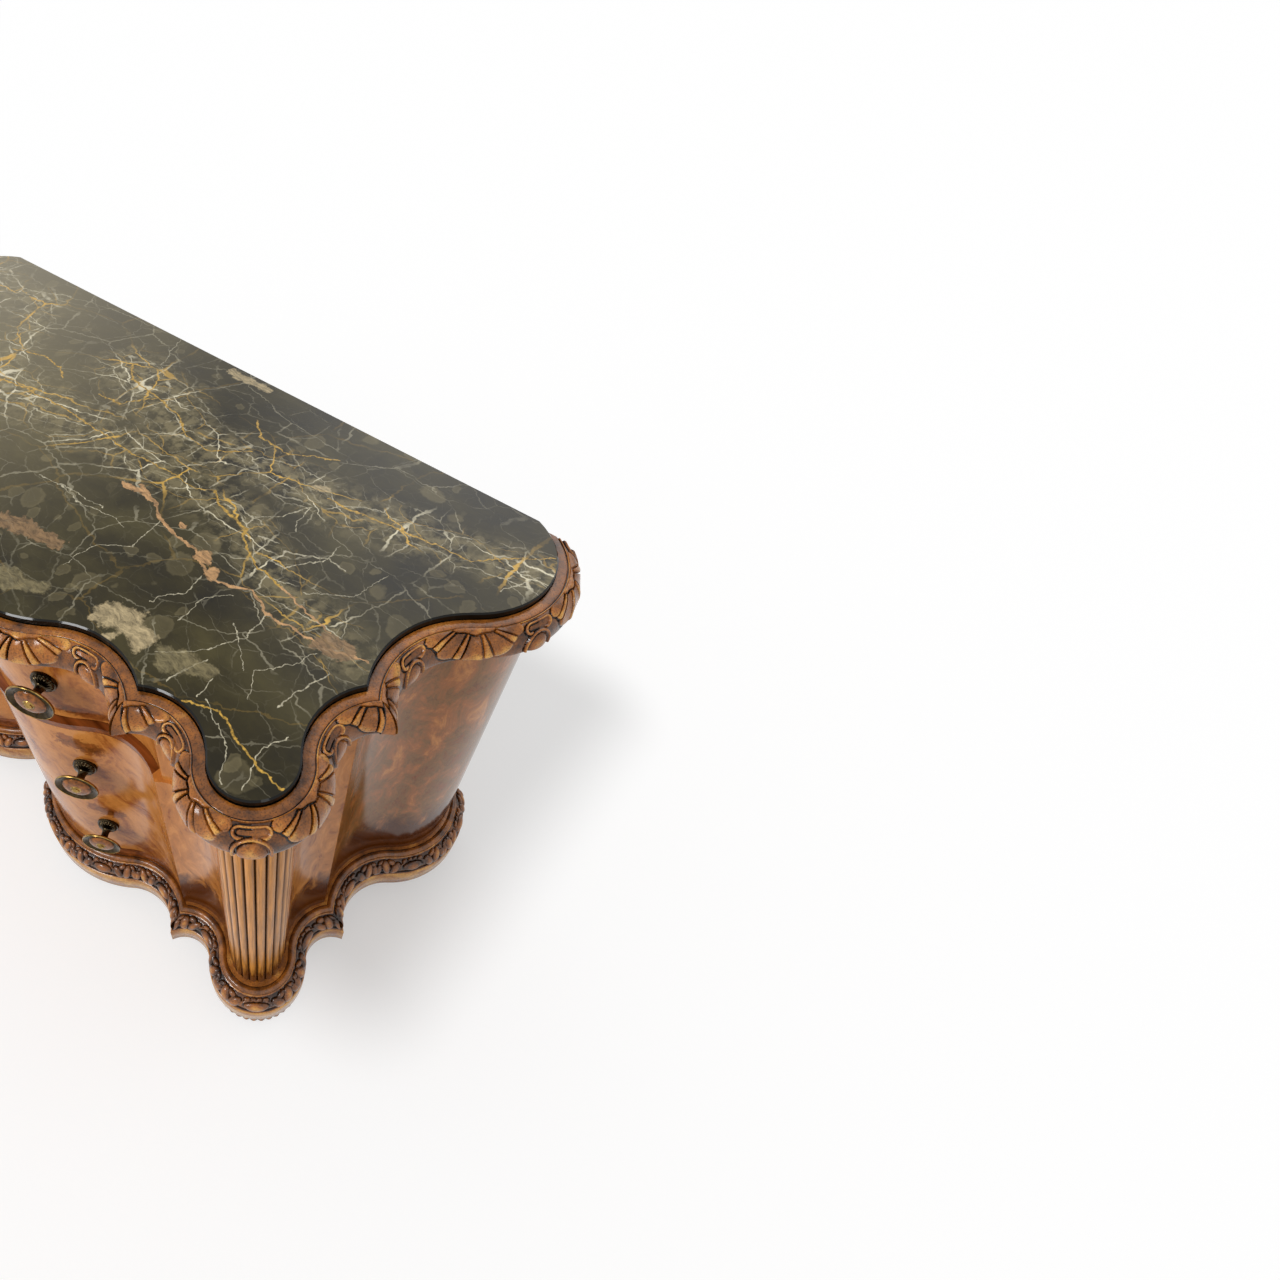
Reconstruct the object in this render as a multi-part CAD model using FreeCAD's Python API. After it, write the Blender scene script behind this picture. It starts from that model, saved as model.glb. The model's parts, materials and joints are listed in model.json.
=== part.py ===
import FreeCAD, Part
import math
import os

Vector = FreeCAD.Vector

# Serpentine commode with a marble top, three long drawers and a reeded column on each front corner.
# Millimetres. +Z up, the front faces -Y, and the origin is the middle of the footprint on the floor.
# "Depth" is measured from the straight back towards the front, and "offset" outwards from the body's outline.

# Heights
overall_height = 850
foot_height = 66
plinth_height = 88
marble_thickness = 25
marble_reveal = 9
cornice_height = 41
ledge_drop = 224
base_rail_height = 32

# Plan outline of the body, right half: a row of arcs from the centre line round to the back
body_depth = 645
body_half_width = 752
recess_depth = 105
bow_gap = 22.5
cove_radius = 138
cove_from_lobe = 227
lobe_from_side = 90
lobe_from_front = 92
nose_radius = 51
lobe_cove_spacing = 146
side_cove_radius = 142
side_cove_from_lobe = 233
side_bow_overlap = 37.5
side_bow_cut = 15

# Cornice and plinth
cornice_projection = 40
border_width = 13
rebate_width = 10
soffit_rise = 6
cornice_edge = 8
plinth_projection = 41
fascia_height = 47
bead_height = 8
bead_offset = 17
bead_fillet = 3
bead_round = 2
ovolo_steps = 4
plinth_wall = 28
plinth_back_thickness = 30
marble_edge = 2

# Carcase
upper_setback = 5
lower_projection = 7
stile_width = 17
stile_depth = 70
side_joint_from_cusp = 23
post_return = 45
panel_thickness = 22
back_thickness = 12
back_joint = 46
board_thickness = 18
rail_thickness = 12
rail_width = 40
runner_width = 60
guide_height = 24
guide_thickness = 6.5
column_setback = 3
reed_count = 10
reed_height = 5

# Drawers
front_thickness = 26
front_side_gap = 1.5
front_gap = 2
front_joint = 1.5
box_side_gap = 8
box_wall = 12
box_back_depth = 40
box_top_gap = 22
box_floor_thickness = 8
box_floor_lift = 5

# Knobs
frieze_knob_from_bow = 90.5
lower_knob_from_bow = 115.5
rosette_radius = 20.5
rosette_edge = 2
rosette_height = 12
rosette_sink = 3
neck_radius = 7
dish_radius = 36
dish_height = 41.5
dish_depth = 5
dish_rim = 2.5
centre_radius = 21.5
centre_top = 43.6
button_radius = 8
button_height = 5
screw_radius = 2.5
screw_head_radius = 5
screw_head_height = 3
bore_end = 6

# Feet
front_foot_radius = 88
rear_foot_radius = 60
rear_foot_out = 87
rear_foot_depth = 62
glue_block_leg = 45
glue_block_height = 60

# Clearances
slab_gap = 0.5
glue_gap = 0.3
slide_gap = 0.3
hole_gap = 0.3
reach = 2000

# Derived levels
plinth_top = foot_height + plinth_height
marble_bottom = overall_height - marble_thickness
border_top = overall_height - marble_reveal
body_top = border_top - cornice_height
ledge_top = overall_height - ledge_drop
ledge_bottom = ledge_top - rail_thickness
base_rail_top = plinth_top + base_rail_height
lower_span = (ledge_bottom - base_rail_top - front_gap - front_joint) / 2
middle_joint = base_rail_top + front_gap + lower_span
middle_rail_top = middle_joint + front_joint + front_gap
overall_depth = body_depth + plinth_projection
back_y = overall_depth / 2


def at(x, depth, z=0):
    """Point given by its distance from the centre line, from the back and from the floor."""
    return Vector(x, back_y - depth, z)


def polar(radius, angle):
    return Vector(radius * math.cos(angle), radius * math.sin(angle), 0)


def crossings(first, first_radius, second, second_radius):
    """The two points where two circles in plan cross."""
    gap = second - first
    span = gap.Length
    along = (first_radius**2 - second_radius**2 + span**2) / (2 * span)
    across = math.sqrt(first_radius**2 - along**2)
    unit = gap / span
    foot = first + unit * along
    normal = Vector(-unit.y, unit.x, 0)
    return foot + normal * across, foot - normal * across


# Circles of the plan: each bow stands midway between the centre line and the cove beside the lobe
lobe_x = body_half_width - lobe_from_side
lobe_depth = body_depth - lobe_from_front
lobe_centre = at(lobe_x, lobe_depth)
diagonal = Vector(1, -1, 0).normalize()
lateral = Vector(1, 1, 0).normalize()
lobe_cove_radius = lobe_cove_spacing - nose_radius
cove_centre_x = lobe_x - cove_from_lobe
bow_centre_x = cove_centre_x / 2
bow_radius = bow_centre_x - bow_gap
bow_centre_depth = body_depth - bow_radius
bow_rise = bow_radius - recess_depth
recess_radius = (bow_centre_x**2 + bow_rise**2 - bow_radius**2) / (2 * recess_depth)
cove_rise = math.sqrt((bow_radius + cove_radius) ** 2 - (cove_centre_x - bow_centre_x) ** 2)
side_cove_depth = lobe_depth - side_cove_from_lobe
side_bow_radius = (side_cove_depth + side_bow_cut - side_cove_radius) / 2 + side_bow_overlap
side_bow_x = body_half_width - side_bow_radius
side_bow_depth = side_bow_radius - side_bow_cut
side_span = math.sqrt((side_bow_radius + side_cove_radius) ** 2 - (side_cove_depth - side_bow_depth) ** 2)

# Each circle's centre, radius and turn, in their order from the centre line: +1 bulges outwards, -1 is hollow
plan_circles = {
    "recess": (at(0, body_depth - recess_depth + recess_radius), recess_radius, -1),
    "bow": (at(bow_centre_x, bow_centre_depth), bow_radius, 1),
    "cove": (at(cove_centre_x, bow_centre_depth + cove_rise), cove_radius, -1),
    "lobe_front": (lobe_centre - lateral * lobe_cove_spacing, lobe_cove_radius, -1),
    "nose": (lobe_centre, nose_radius, 1),
    "lobe_side": (lobe_centre + lateral * lobe_cove_spacing, lobe_cove_radius, -1),
    "side_cove": (at(side_bow_x + side_span, side_cove_depth), side_cove_radius, -1),
    "side_bow": (at(side_bow_x, side_bow_depth), side_bow_radius, 1),
}
plan_order = list(plan_circles)


def offset_radius(name, offset):
    _, radius, turn = plan_circles[name]
    return radius + turn * offset


def meeting(name, offset, next_offset=None):
    """Where a circle of the plan meets the next one: a smooth joint, or a cusp between two hollows."""
    if next_offset is None:
        next_offset = offset
    next_name = plan_order[plan_order.index(name) + 1]
    first, _, first_turn = plan_circles[name]
    second, _, second_turn = plan_circles[next_name]
    radius = offset_radius(name, offset)
    if first_turn != second_turn:
        return first + (second - first).normalize() * radius
    points = crossings(first, radius, second, offset_radius(next_name, next_offset))
    return min(points, key=lambda point: point.Length)


def arc(name, start, end):
    """Edge along one circle of the plan, followed from the front round to the back."""
    centre, _, turn = plan_circles[name]
    first = math.atan2(start.y - centre.y, start.x - centre.x)
    last = math.atan2(end.y - centre.y, end.x - centre.x)
    sweep = turn * ((turn * (last - first)) % (2 * math.pi))
    middle = centre + polar((start - centre).Length, first + sweep / 2)
    return Part.Arc(start, middle, end).toShape()


def mirrored(shape):
    return shape.mirror(Vector(0, 0, 0), Vector(1, 0, 0))


def flipped(point):
    return Vector(-point.x, point.y, point.z)


def plan_wire(offset, z, end_depth=0):
    """Closed outline of the whole body, moved outwards by offset, with a straight back."""
    joints = [meeting(name, offset) for name in plan_order[:-1]]
    centre = plan_circles["side_bow"][0]
    back_run = math.sqrt(offset_radius("side_bow", offset) ** 2 - (back_y - end_depth - centre.y) ** 2)
    joints.append(at(centre.x + back_run, end_depth))
    right = [arc(name, start, end) for name, start, end in zip(plan_order[1:], joints, joints[1:])]
    left = [mirrored(edge) for edge in reversed(right)]
    front = arc("recess", flipped(joints[0]), joints[0])
    back = Part.makeLine(joints[-1], flipped(joints[-1]))
    wire = Part.Wire([front] + right + [back] + left)
    wire.translate(Vector(0, 0, z))
    return wire


def prism(offset, low, high, end_depth=0):
    return Part.Face(plan_wire(offset, low, end_depth)).extrude(Vector(0, 0, high - low))


def moulding(profile):
    """Solid plate whose edge follows a profile of (offset, height) steps all round the outline."""
    return Part.makeLoft([plan_wire(offset, z) for offset, z in profile], True, True)


def block(x0, x1, depth0, depth1, z0, z1):
    corner = at(x0, depth1, z0)
    return Part.makeBox(x1 - x0, depth1 - depth0, z1 - z0, corner)


def polygon_prism(points, low, high):
    face = Part.Face(Part.makePolygon(points + points[:1]))
    face.translate(Vector(0, 0, low))
    return face.extrude(Vector(0, 0, high - low))


def turned(profile, position, direction):
    """Solid of revolution from (radius, height) points, standing at a position along a direction."""
    points = [Vector(radius, 0, height) for radius, height in profile]
    face = Part.Face(Part.makePolygon(points + points[:1]))
    solid = face.revolve(Vector(0, 0, 0), Vector(0, 0, 1), 360)
    turn = FreeCAD.Rotation(Vector(0, 0, 1), direction)
    solid.Placement = FreeCAD.Placement(position, turn)
    return solid


# Places that follow from the outline
opening_half = meeting("cove", 0).x - stile_width
side_joint_depth = back_y - meeting("lobe_side", 0).y - side_joint_from_cusp
rail_back_depth = body_depth - recess_depth - rail_width


def mitre(name):
    """Mitre line at a cusp, from a point well inside the frames to a point well outside them."""
    inner = meeting(name, -plinth_wall)
    outer = meeting(name, plinth_projection)
    run = outer - inner
    return inner - run, outer + run


front_in, front_out = mitre("cove")
side_in, side_out = mitre("lobe_side")


def front_zone():
    points = [front_in, front_out, Vector(front_out.x, -reach, 0), Vector(-front_out.x, -reach, 0)]
    points += [flipped(front_out), flipped(front_in)]
    return polygon_prism(points, 0, overall_height)


def corner_zone():
    points = [front_in, front_out, Vector(front_out.x, -reach, 0), Vector(reach, -reach, 0)]
    points += [Vector(reach, side_out.y, 0), side_out, side_in]
    return polygon_prism(points, 0, overall_height)


def side_zone():
    inner_x = side_bow_x
    points = [side_in, side_out, Vector(reach, side_out.y, 0), Vector(reach, reach, 0)]
    points += [Vector(inner_x, reach, 0), Vector(inner_x, side_in.y, 0)]
    return polygon_prism(points, 0, overall_height)


def frame_pieces(name, ring):
    """A frame cut at the cusps into front, corner and side lengths."""
    corner = ring.common(corner_zone())
    side = ring.common(side_zone())
    return {
        name + "_front": ring.common(front_zone()),
        name + "_corner_right": corner,
        name + "_corner_left": mirrored(corner),
        name + "_side_right": side,
        name + "_side_left": mirrored(side),
    }


def marble():
    edge = -slab_gap
    top = overall_height
    profile = [(edge, marble_bottom), (edge, top - marble_edge), (edge - marble_edge, top)]
    return {"marble_top": moulding(profile)}


def ovolo(outer, low, inner, high):
    """Quarter-round profile, from its outer lower edge to its inner upper edge."""
    points = []
    for step in range(ovolo_steps + 1):
        angle = math.pi / 2 * step / ovolo_steps
        points.append((inner + (outer - inner) * math.cos(angle), low + (high - low) * math.sin(angle)))
    return points


def cornice():
    """Moulded frame: soffit, lower edge, ovolo that carries the carving, flat border round the slab."""
    edge_low = body_top + soffit_rise
    edge_high = edge_low + cornice_edge
    profile = [(border_width, body_top), (cornice_projection, edge_low)]
    profile += ovolo(cornice_projection, edge_high, border_width, border_top)
    plate = moulding(profile)
    slab_seat = prism(slab_gap, marble_bottom, overall_height, -1)
    board_seat = prism(-rebate_width, body_top - 1, marble_bottom, -1)
    return frame_pieces("cornice", plate.cut(slab_seat).cut(board_seat))


def plinth():
    """Moulded base frame: plain fascia, ovolo that carries the carving, bead against the body."""
    fascia_top = foot_height + fascia_height
    bead_bottom = plinth_top - bead_height
    profile = [(plinth_projection, foot_height)]
    profile += ovolo(plinth_projection, fascia_top, bead_offset, bead_bottom - bead_fillet)
    profile += [(bead_offset, bead_bottom), (bead_offset - bead_fillet, plinth_top - bead_round)]
    profile += [(bead_offset - bead_height, plinth_top)]
    inside = prism(-plinth_wall, foot_height - 1, plinth_top + 1, plinth_back_thickness)
    ring = moulding(profile).cut(inside)
    pieces = frame_pieces("plinth", ring)
    back_zone = block(-side_bow_x, side_bow_x, -1, side_joint_depth, 0, overall_height)
    pieces["plinth_back"] = ring.common(back_zone)
    return pieces


def post_plan(front_offset, wall_offset):
    """Plan of a corner post: stile strip, arris, hollow wall, flat seat of the column, and the same again."""
    cove_centre = plan_circles["cove"][0]
    cove_reach = offset_radius("cove", front_offset)
    cove_run = math.sqrt(cove_reach**2 - (opening_half - cove_centre.x) ** 2)
    stile = Vector(opening_half, cove_centre.y + cove_run, 0)
    arris = meeting("cove", front_offset, wall_offset)
    neck_front = meeting("lobe_front", wall_offset)
    neck_side = meeting("nose", 0)
    cusp = meeting("lobe_side", 0)
    side_centre = plan_circles["side_cove"][0]
    joint_y = back_y - side_joint_depth
    side_run = math.sqrt(side_cove_radius**2 - (joint_y - side_centre.y) ** 2)
    joint = Vector(side_centre.x - side_run, joint_y, 0)
    inner_side = Vector(joint.x - post_return, joint_y, 0)
    inner_front = Vector(opening_half, stile.y + stile_depth, 0)
    return Part.Wire([
        arc("cove", stile, arris),
        arc("lobe_front", arris, neck_front),
        Part.makeLine(neck_front, neck_side),
        arc("lobe_side", neck_side, cusp),
        arc("side_cove", cusp, joint),
        Part.makeLine(joint, inner_side),
        Part.makeLine(inner_side, inner_front),
        Part.makeLine(inner_front, stile),
    ])


def corner_posts():
    """Posts whose front is set back above the ledge."""
    lower = (lower_projection, 0, plinth_top, ledge_top)
    upper = (-upper_setback, -upper_setback, ledge_top, body_top)
    halves = []
    for front_offset, wall_offset, low, high in (lower, upper):
        face = Part.Face(post_plan(front_offset, wall_offset))
        face.translate(Vector(0, 0, low))
        halves.append(face.extrude(Vector(0, 0, high - low)))
    post = halves[0].fuse(halves[1])
    return {"corner_post_right": post, "corner_post_left": mirrored(post)}


def columns():
    """Half columns with rounded reeds, flat at the back, glued on the posts."""
    radius = nose_radius - column_setback
    groove = radius - reed_height
    pitch = math.pi / reed_count

    def reed_point(distance, angle):
        return lobe_centre + lateral * (distance * math.cos(angle)) + diagonal * (distance * math.sin(angle))

    edges = []
    for reed in range(reed_count):
        start = reed_point(groove, pitch * reed)
        middle = reed_point(radius, pitch * (reed + 0.5))
        end = reed_point(groove, pitch * (reed + 1))
        edges.append(Part.Arc(start, middle, end).toShape())
    edges.append(Part.makeLine(reed_point(groove, math.pi), reed_point(groove, 0)))
    face = Part.Face(Part.Wire(edges))
    face.translate(Vector(0, 0, plinth_top))
    column = face.extrude(Vector(0, 0, body_top - plinth_top))
    return {"column_right": column, "column_left": mirrored(column)}


def carcase_boards():
    """Side panels, back, bottom, sub-top and the rails between the drawers."""
    back_x = side_bow_x + back_joint
    rear_end = back_thickness + 2
    shell = prism(0, plinth_top, body_top).cut(prism(-panel_thickness, plinth_top, body_top, rear_end))
    side = shell.common(block(side_bow_x, reach, -1, side_joint_depth, plinth_top, body_top))
    side = side.cut(block(0, back_x, -1, rear_end, plinth_top, body_top))
    inner = prism(-panel_thickness - 1, plinth_top, plinth_top + board_thickness, rear_end)
    post_clearance = block(opening_half - 1, reach, side_joint_depth - 1, reach, plinth_top, body_top)
    bottom = inner.cut(post_clearance).cut(mirrored(post_clearance))
    opening = block(-opening_half, opening_half, rail_back_depth, reach, 0, overall_height)
    front_face = prism(lower_projection, ledge_bottom, ledge_top)
    hidden = lower_projection - front_thickness - front_gap
    middle = prism(hidden, middle_rail_top - rail_thickness, middle_rail_top, rear_end)
    base = prism(lower_projection, plinth_top, base_rail_top)
    base = base.cut(prism(-panel_thickness, plinth_top, base_rail_top, rear_end))
    return {
        "side_panel_right": side,
        "side_panel_left": mirrored(side),
        "back_panel": block(-back_x, back_x, 0, back_thickness, plinth_top, body_top),
        "bottom_board": bottom,
        "sub_top": prism(-rebate_width - glue_gap, body_top, marble_bottom),
        "ledge_rail": front_face.common(opening),
        "middle_rail": middle.common(opening),
        "base_rail": base.common(opening),
    }


def runner_pair(top, bottom):
    """Runner bars from the rail to the back, each with a guide strip outside the drawer."""
    inner = opening_half - runner_width
    guide_inner = opening_half - guide_thickness
    bar = block(inner, opening_half, back_thickness, rail_back_depth, bottom, top)
    guide = block(guide_inner, opening_half, back_thickness, rail_back_depth, top, top + guide_height)
    runner = bar.fuse(guide).removeSplitter()
    return Part.makeCompound([runner, mirrored(runner)])


def runners():
    return {
        "ledge_runners": runner_pair(ledge_top, ledge_bottom),
        "middle_runners": runner_pair(middle_rail_top, middle_rail_top - rail_thickness),
        "bottom_runners": runner_pair(base_rail_top, plinth_top + board_thickness),
    }


def feet():
    """Turned bun feet under the lobes, plainer ones under the rear corners."""

    def bun(radius, position):
        shares = [(0, 0), (0.76, 0), (0.9, 0.12), (0.98, 0.3), (1, 0.5)]
        shares += [(0.96, 0.7), (0.86, 0.88), (0.8, 1), (0, 1)]
        profile = [(radius * across, foot_height * up) for across, up in shares]
        return turned(profile, position, Vector(0, 0, 1))

    front = bun(front_foot_radius, lobe_centre)
    rear = bun(rear_foot_radius, at(side_bow_x + rear_foot_out, rear_foot_depth))
    return {
        "front_foot_right": front,
        "front_foot_left": mirrored(front),
        "rear_foot_right": rear,
        "rear_foot_left": mirrored(rear),
    }


def knob_place(x, face_offset):
    """Seat and axis of a knob on the bow, square to the drawer face."""
    centre = plan_circles["bow"][0]
    radius = offset_radius("bow", face_offset)
    outward = Vector(x - centre.x, -math.sqrt(radius**2 - (x - centre.x) ** 2), 0)
    return centre + outward, outward.normalize()


def knob(x, z, face_offset, face):
    """Turned knob: rosette cut to the curve of the face, spool and dish, domed centre, button and screw."""
    seat, axis = knob_place(x, face_offset)
    seat.z = z
    bore = screw_radius + hole_gap
    dish_floor = dish_height - dish_depth
    dish_edge = dish_radius - dish_rim
    blind_end = dish_floor - bore_end
    spool = dish_floor - rosette_height
    rosette = turned([
        (bore, -rosette_sink), (rosette_radius, -rosette_sink), (rosette_radius, rosette_edge),
        (0.92 * rosette_radius, 0.42 * rosette_height), (0.62 * rosette_radius, 0.71 * rosette_height),
        (neck_radius, rosette_height), (bore, rosette_height),
    ], seat, axis).cut(face)
    dish = turned([
        (0, blind_end), (bore, blind_end), (bore, rosette_height), (neck_radius, rosette_height),
        (0.86 * neck_radius, rosette_height + 0.33 * spool),
        (1.4 * neck_radius, rosette_height + 0.63 * spool),
        (0.6 * dish_radius, rosette_height + 0.8 * spool),
        (dish_edge, dish_floor - 0.2 * dish_depth),
        (dish_radius, dish_floor + 0.4 * dish_depth), (dish_radius, dish_height - 0.2 * dish_depth),
        (dish_radius - 0.4 * dish_rim, dish_height), (dish_edge, dish_height),
        (dish_edge - dish_rim, dish_floor + 0.4 * dish_depth), (centre_radius + glue_gap, dish_floor),
        (0, dish_floor),
    ], seat, axis)
    rise = centre_top - dish_floor
    centre = turned([
        (0, dish_floor), (centre_radius, dish_floor), (0.96 * centre_radius, dish_floor + 0.3 * rise),
        (0.8 * centre_radius, dish_floor + 0.65 * rise), (0.6 * centre_radius, dish_floor + 0.88 * rise),
        (button_radius, centre_top), (0, centre_top),
    ], seat, axis)
    button = turned([
        (0, centre_top), (button_radius, centre_top), (0.95 * button_radius, centre_top + 0.45 * button_height),
        (0.5 * button_radius, centre_top + 0.9 * button_height), (0, centre_top + button_height),
    ], seat, axis)
    head = -front_thickness - hole_gap
    screw = turned([
        (0, head - screw_head_height), (screw_head_radius, head - screw_head_height), (screw_head_radius, head),
        (screw_radius, head), (screw_radius, blind_end - 1), (0, blind_end - 1),
    ], seat, axis)
    hole = Part.makeCylinder(bore, 2 * front_thickness, seat - axis * (1.5 * front_thickness), axis)
    solids = {"brasses": [rosette, button], "dishes": [dish], "centres": [centre], "screws": [screw]}
    return solids, hole


def drawer(name, low, high, face_offset, rest, knob_x):
    """One long drawer: curved front, two sides, back, floor and a pair of knobs."""
    inner_offset = face_offset - front_thickness
    half = opening_half - front_side_gap
    front = prism(face_offset, low, high).cut(prism(inner_offset, low, high, back_thickness + front_thickness))
    front = front.common(block(-half, half, lobe_depth / 2, reach, low, high))
    outer = opening_half - box_side_gap
    inner = outer - box_wall
    side_low = rest + slide_gap
    side_high = high - box_top_gap
    floor_low = side_low + box_floor_lift
    floor_high = floor_low + box_floor_thickness
    behind_front = prism(inner_offset - glue_gap, side_low, side_high, back_thickness + front_thickness)
    side = block(inner, outer, box_back_depth, reach, side_low, side_high).common(behind_front)
    floor = block(-inner, inner, box_back_depth + box_wall, reach, floor_low, floor_high).common(behind_front)
    face = prism(face_offset + slide_gap / 3, low, high)
    right, hole = knob(knob_x, (low + high) / 2, face_offset, face)
    pieces = {
        "front": front.cut(hole).cut(mirrored(hole)),
        "side_right": side,
        "side_left": mirrored(side),
        "back": block(-inner, inner, box_back_depth, box_back_depth + box_wall, floor_low, side_high),
        "floor": floor,
    }
    for kind, solids in right.items():
        pieces["knob_" + kind] = Part.makeCompound(solids + [mirrored(solid) for solid in solids])
    return {name + "_" + piece: shape for piece, shape in pieces.items()}


def drawers():
    frieze_low = ledge_top + front_gap
    frieze_high = body_top - front_gap
    lower_low = base_rail_top + front_gap
    middle_low = middle_joint + front_joint
    middle_high = ledge_bottom - front_gap / 2
    frieze_knob_x = bow_centre_x + frieze_knob_from_bow
    lower_knob_x = bow_centre_x + lower_knob_from_bow
    pieces = drawer("frieze_drawer", frieze_low, frieze_high, -upper_setback, ledge_top, frieze_knob_x)
    pieces.update(drawer("middle_drawer", middle_low, middle_high, lower_projection, middle_rail_top, lower_knob_x))
    pieces.update(drawer("lower_drawer", lower_low, middle_joint, lower_projection, base_rail_top, lower_knob_x))
    return pieces


def glue_blocks():
    """Triangular blocks under the bottom board, in the corners of the plinth."""
    side_x = plan_circles["side_cove"][0].x - side_cove_radius - plinth_wall
    back = plinth_back_thickness
    points = [at(side_x, back), at(side_x - glue_block_leg, back), at(side_x, back + glue_block_leg)]
    solid = polygon_prism(points, plinth_top - glue_block_height, plinth_top)
    return {"glue_blocks": Part.makeCompound([solid, mirrored(solid)])}


def main():
    os.makedirs("parts", exist_ok=True)
    nodes = {}
    makers = [marble, cornice, plinth, corner_posts, columns, carcase_boards]
    makers += [runners, feet, drawers, glue_blocks]
    for make in makers:
        nodes.update(make())
    for name, shape in nodes.items():
        shape.exportStep("parts/" + name + ".step")
        print(name, len(shape.Solids), shape.isValid(), round(shape.Volume / 1000))


main()
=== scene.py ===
import cmath
import collections
import functools
import json
import math

import bmesh
import bpy
from mathutils import Matrix, Vector


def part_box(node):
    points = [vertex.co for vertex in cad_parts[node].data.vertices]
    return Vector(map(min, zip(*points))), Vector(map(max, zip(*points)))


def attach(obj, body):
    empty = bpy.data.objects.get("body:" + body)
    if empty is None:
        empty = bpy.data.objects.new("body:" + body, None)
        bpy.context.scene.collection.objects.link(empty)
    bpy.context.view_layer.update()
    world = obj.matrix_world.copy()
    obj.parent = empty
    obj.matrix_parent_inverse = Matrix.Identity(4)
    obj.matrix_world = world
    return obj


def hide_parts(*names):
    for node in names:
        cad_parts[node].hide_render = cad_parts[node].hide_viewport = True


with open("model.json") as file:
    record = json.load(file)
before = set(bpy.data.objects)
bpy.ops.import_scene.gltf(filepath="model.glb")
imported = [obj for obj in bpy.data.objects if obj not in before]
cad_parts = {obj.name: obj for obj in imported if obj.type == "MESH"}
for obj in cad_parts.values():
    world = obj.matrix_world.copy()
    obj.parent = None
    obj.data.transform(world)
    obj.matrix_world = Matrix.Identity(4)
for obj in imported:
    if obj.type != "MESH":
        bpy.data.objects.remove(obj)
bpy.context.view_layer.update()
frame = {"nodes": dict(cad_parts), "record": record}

bl_info = {
    "name": "Serpentine commode",
    "version": (1, 0, 0),
    "blender": (4, 5, 0),
    "location": "View3D > Sidebar > Commode",
    "description": "Carves and finishes a marble-topped serpentine chest of drawers on its solid frame",
    "category": "Object",
}

MM = 0.001
WELD = 0.01 * MM
DRAWERS = ("frieze_drawer", "middle_drawer", "lower_drawer")

# Plan outline of the right half, in millimetres: arcs from the middle of the front round to the back
Arc = collections.namedtuple("Arc", "centre radius turn")
BOWED = 1
HOLLOW = -1
BACK_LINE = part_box("back_panel")[1].y / MM
OUTLINE = {
    "recess": Arc(complex(0, -279.768), 82.768, HOLLOW),
    "bow": Arc(complex(217.5, -107), 195, BOWED),
    "cove": Arc(complex(435, -359.156), 138, HOLLOW),
    "lobe_front": Arc(complex(558.762, -313.238), 95, HOLLOW),
    "nose": Arc(complex(662, -210), 51, BOWED),
    "lobe_side": Arc(complex(765.238, -106.762), 95, HOLLOW),
    "side_cove": Arc(complex(807.143, 23), 142, HOLLOW),
    "side_bow": Arc(complex(618, 224), 134, BOWED),
}
ARC_NAMES = tuple(OUTLINE)

# Runs of moulding between mitres, with the intervals between motifs on the cornice and the count of motifs on
# the plinth. The motifs are spaced at MOTIF_OFFSET outside the outline
MOTIF_OFFSET = 28.0
RUNS = {
    "front": (("recess", "bow", "cove"), 6, 4),
    "corner": (("lobe_front", "nose", "lobe_side"), 6, 3),
    "side": (("side_cove", "side_bow"), 5, 3),
}


def linear(hex_colour):
    """Turns an sRGB hex colour into linear red, green and blue."""
    channels = [int(hex_colour[i:i + 2], 16) / 255 for i in (1, 3, 5)]
    return tuple(c / 12.92 if c <= 0.04045 else ((c + 0.055) / 1.055) ** 2.4 for c in channels)


def colour_setting(name, hex_colour):
    default = linear(hex_colour)
    return bpy.props.FloatVectorProperty(name=name, default=default, subtype="COLOR", size=3, min=0, max=1)


def size_setting(name, millimetres):
    return bpy.props.FloatProperty(name=name, default=millimetres * MM, unit="LENGTH")


class CommodeSizes(bpy.types.PropertyGroup):
    """Sizes of the carving and the turned pieces."""
    carving_step: size_setting("Distance between the points of the carved mesh", 0.95)
    petal_height: size_setting("How far a shell's petals stand out", 3.2)
    leaf_height: size_setting("How far the leaf over a shell stands out", 4.2)
    rim_height: size_setting("How far a cartouche's rim stands out", 2.6)
    cabochon_height: size_setting("How far a cartouche's cabochon stands out", 4.6)
    rib_depth: size_setting("Depth of the flutes round a bun foot", 3.0)
    dish_radius: size_setting("Radius of a knob's dish", 36.0)


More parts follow.
